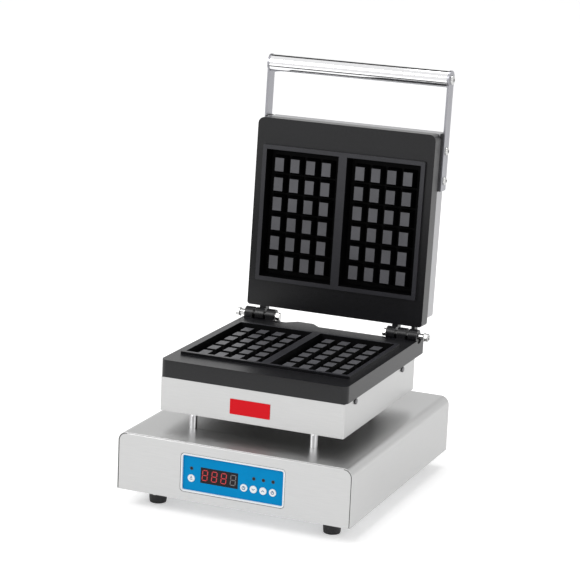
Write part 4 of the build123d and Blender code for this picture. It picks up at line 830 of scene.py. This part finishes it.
def band(name: str, size: tuple[float, float], corner: float, width: float, thick: float,
         keep: Callable[[bmesh.types.BMFace], bool] | None = None) -> Object:
    """A flat rectangular frame with rounded corners on the XY plane.

    Args:
        name: Its name.
        size: Its outer width and height.
        corner: The outer corners' radius.
        width: Width of the band.
        thick: Its thickness, up from Z 0.
        keep: Says which stretches of the frame stay, or None for all.

    Returns:
        The piece.
    """
    piece = primitive(name, bpy.ops.mesh.primitive_plane_add, size=1.0)
    piece.scale = (*size, 1.0)
    settle(piece)
    edit(piece, everything, lambda: bpy.ops.mesh.bevel(offset=corner, segments=6, affect="VERTICES"))
    hollow(piece, width)
    if keep is not None:
        edit(piece, lambda m: [face for face in m.faces if not keep(face)],
             lambda: bpy.ops.mesh.delete(type="FACE"))
    return thicken(piece, thick)


def cut(piece: Object, tool: Object) -> None:
    """Cut one closed solid out of another and use up the tool."""
    modify(piece, "BOOLEAN", operation="DIFFERENCE", solver="EXACT", object=tool)
    bpy.data.objects.remove(tool)


def bar(name: str, length: float, width: float, thick: float) -> Object:
    """A flat bar with pointed ends, along X on the XY plane, such as a display segment.

    Args:
        name: Its name.
        length: Its length over the points.
        width: Its width.
        thick: Its thickness, up from Z 0.

    Returns:
        The piece.
    """
    piece = settle(primitive(name, bpy.ops.mesh.primitive_circle_add, vertices=4, radius=width / 2,
                             fill_type="NGON"))
    half = (length - width) / 2
    tip = width * 0.04
    edit(piece, everything, lambda: bpy.ops.mesh.bevel(offset=tip, segments=1, affect="VERTICES"))
    for sign in (-1, 1):
        edit(piece, lambda m, s=sign: [v for v in m.verts if v.co.x * s > tip / 4],
             lambda s=sign: bpy.ops.transform.translate(value=(s * half, 0, 0)))
    return thicken(piece, thick)


def backdrop_rays(tree: bpy.types.NodeTree) -> Socket:
    """Tell the rays that show the backdrop from those that light the machine.

    Args:
        tree: The node tree to add to.

    Returns:
        1 for camera, glossy and transmission rays, and 0 for the rest.
    """
    light = tree.nodes.new("ShaderNodeLightPath")
    seen = light.outputs["Is Camera Ray"]
    for name in ("Is Glossy Ray", "Is Transmission Ray"):
        either = tree.nodes.new("ShaderNodeMath")
        either.operation = "MAXIMUM"
        tree.links.new(seen, either.inputs[0])
        tree.links.new(light.outputs[name], either.inputs[1])
        seen = either.outputs[0]
    return seen


@dataclass(frozen=True)
class Lamp:
    """A round soft lamp: its name, its place, its width in metres and its power in watts."""

    name: str
    place: Point
    size: float
    power: float


@dataclass(frozen=True)
class Card:
    """A dark card that only shows in polished metal: its middle, size, aim and tone."""

    name: str
    place: Point
    size: Point
    aim: Point
    tone: float = 0.04


@dataclass
class Stage:
    """The camera, floor, lamps and cards."""

    azimuth: float = 21.804
    elevation: float = 13.305
    roll: float = 2.570
    distance: float = 2.8977
    target: Point = (0.0, -0.033457, 0.2753)
    lens: float = 136.81
    sensor: float = 36.0
    floor_size: float = 14.0
    near_glow: float = 0.42
    far_glow: float = 0.62
    glow_reach: tuple[float, float] = (0.25, 1.6)
    floor_tones: tuple[Colour, Colour] = ((0.9, 0.9, 0.9), (0.93, 0.93, 0.93))
    world_light: float = 0.45
    lamp_aim: Point = (0.0, 0.0, 0.2)
    lamps: tuple[Lamp, ...] = (
        Lamp("key", (-1.6, -2.0, 2.2), 1.6, 42.0),
        Lamp("fill", (2.2, -1.4, 1.3), 2.8, 16.0),
        Lamp("top", (0.1, 0.5, 2.6), 1.5, 20.0),
    )
    cards: tuple[Card, ...] = (
        Card("rear_card", (-1.1, 2.04, 2.84), (5.0, 1.7, 1.0), (0.0, 0.1, 0.54)),
        Card("front_card", (1.9, -2.6, 0.9), (2.2, 0.9, 1.0), (0.0, 0.0, 0.1)),
        Card("low_card", (-0.16, -0.25, 0.235), (0.56, 0.13, 1.0), (-0.16, 0.17, 0.5), 0.06),
    )

    def camera(self) -> None:
        """Set the camera where the photograph was taken from."""
        a, e, r = (math.radians(x) for x in (self.azimuth, self.elevation, self.roll))
        back = Vector((math.sin(a) * math.cos(e), -math.cos(a) * math.cos(e), math.sin(e)))
        right = (-back).cross(Vector((0, 0, 1))).normalized()
        up = right.cross(-back)
        x_axis = right * math.cos(r) + up * math.sin(r)
        y_axis = up * math.cos(r) - right * math.sin(r)
        data = bpy.data.cameras.new("camera")
        data.lens, data.sensor_width = self.lens, self.sensor
        camera = bpy.data.objects.new("camera", data)
        bpy.context.scene.collection.objects.link(camera)
        turn = Matrix((x_axis, y_axis, back)).transposed().to_4x4()
        camera.matrix_world = Matrix.Translation(Vector(self.target) + back * self.distance) @ turn
        bpy.context.scene.camera = camera

    def floor(self) -> None:
        """Lay a pale floor that keeps the machine's shadow."""
        floor = primitive("floor", bpy.ops.mesh.primitive_plane_add, size=self.floor_size)
        g = Graph("pale_floor")
        reach = g.add("ShaderNodeVectorMath", operation="LENGTH")
        g.feed(reach.inputs[0], g.place)
        far = g.range(reach.outputs["Value"], self.near_glow, self.far_glow, *self.glow_reach)
        glow = g.mix(backdrop_rays(g.tree), 0.0, far, "FLOAT")
        tone = g.mix(g.range(g.noise(1.5), 0.0, 1.0), *self.floor_tones)
        g.set(Base_Color=tone, Roughness=g.range(g.noise(40.0), 0.75, 0.85), Specular_IOR_Level=0.1,
              Emission_Color=tone, Emission_Strength=glow)
        floor.data.materials.append(g.material)

    def world(self) -> None:
        """Surround the machine with a white studio that is softer as a light than as a backdrop."""
        world = bpy.data.worlds.new("studio")
        bpy.context.scene.world = world
        world.use_nodes = True
        tree = world.node_tree
        background = tree.nodes["Background"]
        background.inputs["Color"].default_value = (1.0, 1.0, 1.0, 1.0)
        strength = tree.nodes.new("ShaderNodeMapRange")
        strength.inputs["To Min"].default_value = self.world_light
        tree.links.new(backdrop_rays(tree), strength.inputs["Value"])
        tree.links.new(strength.outputs[0], background.inputs["Strength"])

    def hang_card(self, card: Card) -> None:
        """Hang one card, unseen by the camera and without a shadow.

        Args:
            card: The card.
        """
        piece = primitive(card.name, bpy.ops.mesh.primitive_plane_add, size=1.0, location=card.place)
        piece.scale = card.size
        piece.rotation_mode = "QUATERNION"
        piece.rotation_quaternion = (Vector(card.aim) - Vector(card.place)).to_track_quat("Z", "Y")
        g = Graph(f"{card.name}_felt")
        felt = g.range(g.noise(12.0), card.tone * 0.8, card.tone * 1.2)
        g.set(Base_Color=g.mix(felt, (0.0, 0.0, 0.0), (1.0, 1.0, 1.0)), Roughness=0.9)
        piece.data.materials.append(g.material)
        piece.visible_camera = piece.visible_diffuse = piece.visible_shadow = False

    def hang_lamp(self, lamp: Lamp) -> None:
        """Hang one lamp and aim it at the machine.

        Args:
            lamp: The lamp.
        """
        data = bpy.data.lights.new(lamp.name, "AREA")
        data.shape, data.size, data.energy = "DISK", lamp.size, lamp.power
        light = bpy.data.objects.new(lamp.name, data)
        bpy.context.scene.collection.objects.link(light)
        light.location = lamp.place
        light.rotation_mode = "QUATERNION"
        light.rotation_quaternion = (Vector(self.lamp_aim) - Vector(lamp.place)).to_track_quat("-Z", "Y")

    def build(self) -> None:
        """Make the whole stage."""
        self.camera()
        self.floor()
        self.world()
        for card in self.cards:
            self.hang_card(card)
        for lamp in self.lamps:
            self.hang_lamp(lamp)


@dataclass
class ControlBase:
    """The stainless base with its walls, feet and screws."""

    edge: float = 0.0004
    foot_edge: float = 0.0012
    gland_edge: float = 0.0006
    screw_edge: float = 0.0003
    sheet: float = 0.0012
    bend: float = 0.012
    seam_width: float = 0.0014
    seam_depth: float = 0.00005
    seam_thick: float = 0.0006

    def seam_shadow(self) -> None:
        """Make a black strip of painted shadow in the gap beside the front wall, down both sides and round
        the bends.
        """
        low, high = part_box("base_shell")
        over = self.seam_width / 2 - self.sheet
        width, height = high.x - low.x + 2 * over, 2 * (high.z - low.z)
        piece = band("front_seam_shadow", (width, height), self.bend + over, self.seam_width, self.seam_thick,
                     lambda face: abs(face.calc_center_median().x) > width / 2 - self.bend)
        settle(piece, frontways(Vector(((low.x + high.x) / 2, low.y + self.seam_depth + self.seam_thick,
                                        high.z - height / 2 + over))))
        edit(piece, everything,
             lambda: bpy.ops.mesh.bisect(plane_co=(0, 0, low.z + self.sheet), plane_no=(0, 0, 1),
                                         use_fill=True, clear_inner=True))
        # Dressed in black rubber: painted shadow in the gap between the wrap and the front wall.
        deliver(piece, "base", RUBBER)

    def build(self) -> None:
        """Copy the sheets with broken edges and dress what shows."""
        self.seam_shadow()
        for node in ("base_shell", "base_front_wall", "base_rear_wall"):
            refine(f"{node}_sheet", node, self.edge, "base", STEEL)
        refine("foot_set", "rubber_feet", self.foot_edge, "base", RUBBER, 3)
        refine("gland_body", "cable_gland", self.gland_edge, "base", CASE)
        for node in ("floor_screws", "foot_bolts"):
            refine(f"{node}_set", node, self.screw_edge, "base", ZINC)
        refine("earth_stud_set", "earth_terminal", self.screw_edge, "base", BRASS)


@dataclass(frozen=True)
class Key:
    """One key: its node, its centre on the panel and the strokes of its mark, in millimetres."""

    node: str
    x: float
    y: float
    strokes: tuple[tuple[float, float, float, float], ...]
    ring: float = 0.0


@dataclass
class ControlPanel:
    """Display, keys, lamps and the foil, in millimetres from the opening's upper left corner."""

    front: float = 2.6
    key_front: float = 1.7
    digit_pitch: float = 13.05
    first_digit: float = 33.6
    digit_row: float = 26.6
    digit_height: float = 13.4
    digit_width: float = 6.8
    digits: int = 4
    dark_digit: int = 3
    stroke: float = 1.2
    stroke_gap: float = 0.8
    lean: float = 0.08
    proud: float = 0.12
    mark_width: float = 1.0
    mark_proud: float = 0.06
    part_edge: float = 0.15
    key_edge: float = 0.2
    size: tuple[float, float] = (145.0, 52.0)
    shadow_gap: float = 0.6
    frame_width: float = 2.2
    frame_depth: float = 0.2
    shadow_ring_depth: float = 1.0
    corner: float = 4.6
    lamp_row: float = 19.8
    lamps: tuple[float, ...] = (14.7, 101.23, 114.46, 127.69)
    bezel: tuple[float, float] = (2.3, 0.9)
    keys: tuple[Key, ...] = (
        Key("key_mode", 14.7, 33.0, ((4.4, 0.0, -1.2, 0.0), (3.4, 0.0, 1.0, 0.0), (2.2, 0.0, 2.6, 0.0))),
        Key("key_timer", 88.0, 33.9, ((2.0, 0.0, 0.8, 90.0), (1.7, 0.6, 0.0, 0.0)), 2.6),
        Key("key_down", 101.23, 33.9, ((3.2, -1.0, 0.0, -45.0), (3.2, 1.0, 0.0, 45.0))),
        Key("key_up", 114.46, 33.9, ((3.2, -1.0, 0.0, 45.0), (3.2, 1.0, 0.0, -45.0))),
        Key("key_power", 127.69, 33.9, ((3.0, 0.0, 1.6, 90.0),), 2.3),
    )

    def segment(self, name: str, x: float, y: float, length: float, upright: bool) -> Object:
        """One bar of a digit, on the window's front.

        Args:
            name: Its name.
            x: Its middle to the right, before the digit leans.
            y: Its middle down.
            length: Its length.
            upright: Whether it stands.

        Returns:
            The bar, in place.
        """
        piece = bar(name, mm(length), mm(self.stroke), mm(self.proud))
        turn = Matrix.Rotation(RIGHT_ANGLE - self.lean, 4, "Z") if upright else Matrix.Identity(4)
        x += self.lean * (self.digit_row - y)
        return settle(piece, frontways(panel_point(x, y, self.front)) @ turn)

    def surround(self) -> None:
        """Make the white frame of the panel, a black ring round it that paints the gap's shadow, and the
        lamps' black rims.
        """
        place = frontways(panel_point(self.size[0] / 2, self.size[1] / 2, self.front))
        outer = tuple(mm(length) for length in self.size)
        inner = tuple(mm(length - 2 * self.shadow_gap) for length in self.size)
        edge = band("panel_frame", inner, mm(self.corner), mm(self.frame_width),
                    mm(self.front - self.frame_depth))
        deliver(settle(edge, place), "base", WHITE)
        # Painted shadow: a black rubber ring in the gap round the white frame.
        shadow_ring = band("panel_shadow_ring", outer, mm(self.corner + self.shadow_gap), mm(2 * self.shadow_gap),
                    mm(self.front - self.shadow_ring_depth))
        deliver(settle(shadow_ring, place), "base", RUBBER)
        rim = ring("lamp_rim", *(mm(length) for length in self.bezel), mm(2 * self.proud))
        rims = repeat(rim, [frontways(panel_point(x, self.lamp_row, self.front)) for x in self.lamps])
        deliver(join("lamp_rims", rims), "base", CASE)

    def digit(self, index: int) -> None:
        """Make one digit of seven bars.

        Args:
            index: Its place in the row, from 0.
        """
        x = self.first_digit + index * self.digit_pitch
        half_width, half_height = self.digit_width / 2, self.digit_height / 2
        parts = [self.segment(f"bar_{index}_{row}", x, self.digit_row + row * half_height,
                              self.digit_width - self.stroke_gap, False) for row in (-1, 0, 1)]
        parts += [self.segment(f"post_{index}_{side}_{row}", x + side * half_width,
                               self.digit_row + row * half_height / 2, half_height - self.stroke_gap, True)
                  for side in (-1, 1) for row in (-1, 1)]
        finish = UNLIT if index == self.dark_digit else LIT
        deliver(join(f"display_digit_{index}", parts), "base", finish)

    def stroke_on(self, key: Key, index: int, length: float, x: float, y: float, turn: float) -> Object:
        """One straight stroke of a key's mark.

        Args:
            key: The key.
            index: A number for the stroke's name.
            length: Its length in millimetres.
            x: Its middle to the right of the key's centre.
            y: Its middle above the key's centre.
            turn: Its turn from level, in degrees.

        Returns:
            The stroke, in place.
        """
        piece = bar(f"{key.node}_stroke_{index}", mm(length), mm(self.mark_width), mm(self.mark_proud))
        place = frontways(panel_point(key.x + x, key.y - y, self.key_front))
        return settle(piece, place @ Matrix.Rotation(math.radians(turn), 4, "Z"))

    def mark(self, key: Key) -> None:
        """Make the plain printed mark of one key.

        Args:
            key: The key.
        """
        parts = [self.stroke_on(key, index, *stroke) for index, stroke in enumerate(key.strokes)]
        if key.ring:
            circle = ring(f"{key.node}_ring", mm(key.ring), mm(self.mark_width), mm(self.mark_proud))
            parts.append(settle(circle, frontways(panel_point(key.x, key.y, self.key_front))))
        deliver(join(f"{key.node}_mark", parts), f"{key.node}_body", PRINT)

    def build(self) -> None:
        """Make the panel's pieces."""
        for node, finish, slot in (("panel_carrier", WHITE, "white_plastic"),
                                   ("panel_overlay", FOIL, "overlay_blue"),
                                   ("display_window", WINDOW, "display_black")):
            refine(f"{node}_part", node, mm(self.part_edge), "base", finish)
        for key in self.keys:
            refine(f"{key.node}_cap", key.node, mm(self.key_edge), f"{key.node}_body",
                   WHITE, 3)
            self.mark(key)
        for index in range(self.digits):
            self.digit(index)
        self.surround()


@dataclass
class HeatedBody:
    """The stainless body on its four posts, with the red plate and the side screws."""

    edge: float = 0.0003
    screw_edge: float = 0.0009

    def build(self) -> None:
        """Copy the body's pieces with broken edges and dress them."""
        refine("body_sheet", "body_shell", self.edge, "base", STEEL)
        refine("post_set", "posts", self.edge, "base", CHROME)
        refine("name_plate", "front_badge", self.edge, "base", BADGE, 3)
        refine("side_screws", "body_screws", self.screw_edge, "base", DARK_SCREW, 4)


@dataclass
class BakingPlates:
    """The two castings with soft edges all over, with painted highlights on the block tops and rims'
    bevels, a lighter tone on the rims' flat tops and painted shade in the wells.
    """

    edge: float = 0.0007
    face_drop: float = 0.0045
    rim_height: float = 0.0038
    block_proud: float = 0.0003
    near: float = 0.047
    far: float = 0.241
    half_width: float = 0.1195
    steep: float = 0.3
    shallow: float = 0.98
    block_area: float = 0.0006
    finishes: tuple[CastCoating, ...] = (PAINTED_HIGHLIGHT, LAND, PAINTED_WELL_SHADE)

    def rub(self, casting: Object, along: Vector, out: Vector) -> None:
        """Paint highlights on the block tops and the rims' bevels, give the rims' flat tops a lighter tone,
        and paint shade in the wells.

        Args:
            casting: The softened casting.
            along: The direction away from the hinge in the working face.
            out: The direction out of the working face.
        """
        for finish in self.finishes:
            casting.data.materials.append(material(finish))
        for face in casting.data.polygons:
            place = face.center - AXIS
            level = place.dot(out) + self.face_drop
            tilt = face.normal.dot(out)
            inside = self.near < place.dot(along) < self.far and abs(place.x) < self.half_width
            zone = CastingZone.PLAIN
            # Painted shade: faces below the working face in the wells get the darkest, least glossy
            # coating.
            if inside and level < -self.edge:
                zone = CastingZone.PAINTED_WELL_SHADE
            elif inside and tilt >= self.steep:
                # On the rim: painted highlight on its bevels, a lighter tone on its flat top.
                if level > self.rim_height - self.edge:
                    zone = CastingZone.LAND if tilt > self.shallow else CastingZone.PAINTED_HIGHLIGHT
                # Painted highlight on the block tops.
                elif abs(level - self.block_proud) < self.edge and face.area < self.block_area:
                    zone = CastingZone.PAINTED_HIGHLIGHT
            face.material_index = zone.value

    def build(self) -> None:
        """Copy both castings with soft edges."""
        for node, body, along, out in (("lower_plate", "base", Vector((0, -1, 0)), Vector((0, 0, 1))),
                                       ("upper_plate", "lid", LID_ALONG, LID_OUT)):
            casting = refine(f"{node}_casting", node, self.edge, body, COATING)
            self.rub(casting, along, out)


@dataclass
class Hinges:
    """Pins, collars, washers and nuts."""

    edge: float = 0.0005

    def build(self) -> None:
        """Copy the fasteners with broken edges."""
        for node in ("hinge_pins", "hinge_spacers", "hinge_nuts"):
            refine(f"{node}_set", node, self.edge, "base", BRIGHT)


@dataclass
class Lid:
    """The cover, pads, arms, tube and screws of the lid."""

    edge: float = 0.0004
    fine_edge: float = 0.0003
    bar_reach: float = 0.349
    bar_out: float = 0.0436
    arm_outside: float = 0.1334
    arm_screws: tuple[float, float] = (0.211, 0.252)
    arm_head: tuple[float, float, float] = (0.00575, 0.0032, 0.0023)
    bar_head: tuple[float, float, float] = (0.0065, 0.0032, 0.0027)
    dome: float = 0.8
    socket_floor: float = 0.45

    def head(self, name: str, radius: float, height: float, socket: float) -> Object:
        """A domed screw head with a six-sided socket, its axis along Z.

        Args:
            name: Its name.
            radius: Its radius.
            height: Its height.
            socket: The socket's radius over the corners.

        Returns:
            The head.
        """
        piece = disc(name, radius, height, 40, height * self.dome)
        tool = disc("socket_tool", socket, height, 6)
        settle(tool, Matrix.Translation((0, 0, height * self.socket_floor)))
        cut(piece, tool)
        smooth(piece, BREAK_ANGLE)
        return piece

    def places(self, reaches: tuple[float, ...]) -> list[Matrix]:
        """The placements of screw heads on the outside of both arms.

        Args:
            reaches: The screws' distances from the hinge axis.

        Returns:
            One placement for each screw.
        """
        return [sideways(lid_point(side.value * self.arm_outside, reach, -self.bar_out), side)
                for side in Side for reach in reaches]

    def screws(self) -> None:
        """Make the screws of both arms and of the tube's ends."""
        heads = repeat(self.head("arm_head", *self.arm_head), self.places(self.arm_screws))
        heads += repeat(self.head("bar_head", *self.bar_head), self.places((self.bar_reach,)))
        deliver(join("handle_screw_heads", heads), "lid", BRIGHT, "handle_screws")

    def build(self) -> None:
        """Make the lid's pieces."""
        refine("cover_sheet", "lid_cover", self.edge, "lid", COVER_STEEL)
        refine("arm_set", "handle_arms", self.edge, "lid", ARM_STEEL, 3)
        refine("handle_tube", "handle_bar", self.fine_edge, "lid", CHROME)
        refine("pad_set", "arm_pads", self.fine_edge, "lid", PAD)
        self.screws()


@dataclass
class InnerPieces:
    """Every node that stays as the frame gives it, with its finish."""

    finishes: tuple[tuple[Finish, tuple[str, ...]], ...] = (
        # The body's floor gets painted shade, as it lies in the shade under the body.
        (PAINTED_UNDERSIDE_SHADE, ("body_floor",)),
        (SHEET, ("base_floor", "lower_pressing_plate", "upper_pressing_plate", "lower_shield",
                 "upper_shield")),
        (ZINC, ("post_nuts", "panel_fasteners", "lower_heater_screws", "upper_heater_screws", "bar_plugs")),
        (ELEMENT, ("lower_element", "upper_element", "lower_sensors", "upper_sensors")),
        (RUBBER, ("body_grommet", "lid_grommet")),
        (CERAMIC, ("terminal_block",)),
        (WINDOW, ("display_module",)),
        (LENS, ("indicator_lamps",)),
        (BOARD, ("control_board", "power_board")),
        (CASE, ("buzzer", "key_switches", "transformer", "relays")),
        (FIBRE, ("lower_blanket", "upper_blanket")),
        (BRASS, ("board_pillars",)),
    )

    def build(self) -> None:
        """Dress the nodes."""
        for finish, nodes in self.finishes:
            for node in nodes:
                dress(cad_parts[node], finish)
                LOG.info("%s: %s", node, finish.name)


def main() -> None:
    """Build the stage and every sub-assembly in order."""
    logging.basicConfig(level=logging.INFO, format="%(message)s")
    bpy.context.scene.view_settings.view_transform = "Standard"
    for part in (Stage(), ControlBase(), ControlPanel(), HeatedBody(), BakingPlates(), Hinges(), Lid(),
                 InnerPieces()):
        LOG.info("building %s", type(part).__name__)
        part.build()


if __name__ == "__main__":
    main()
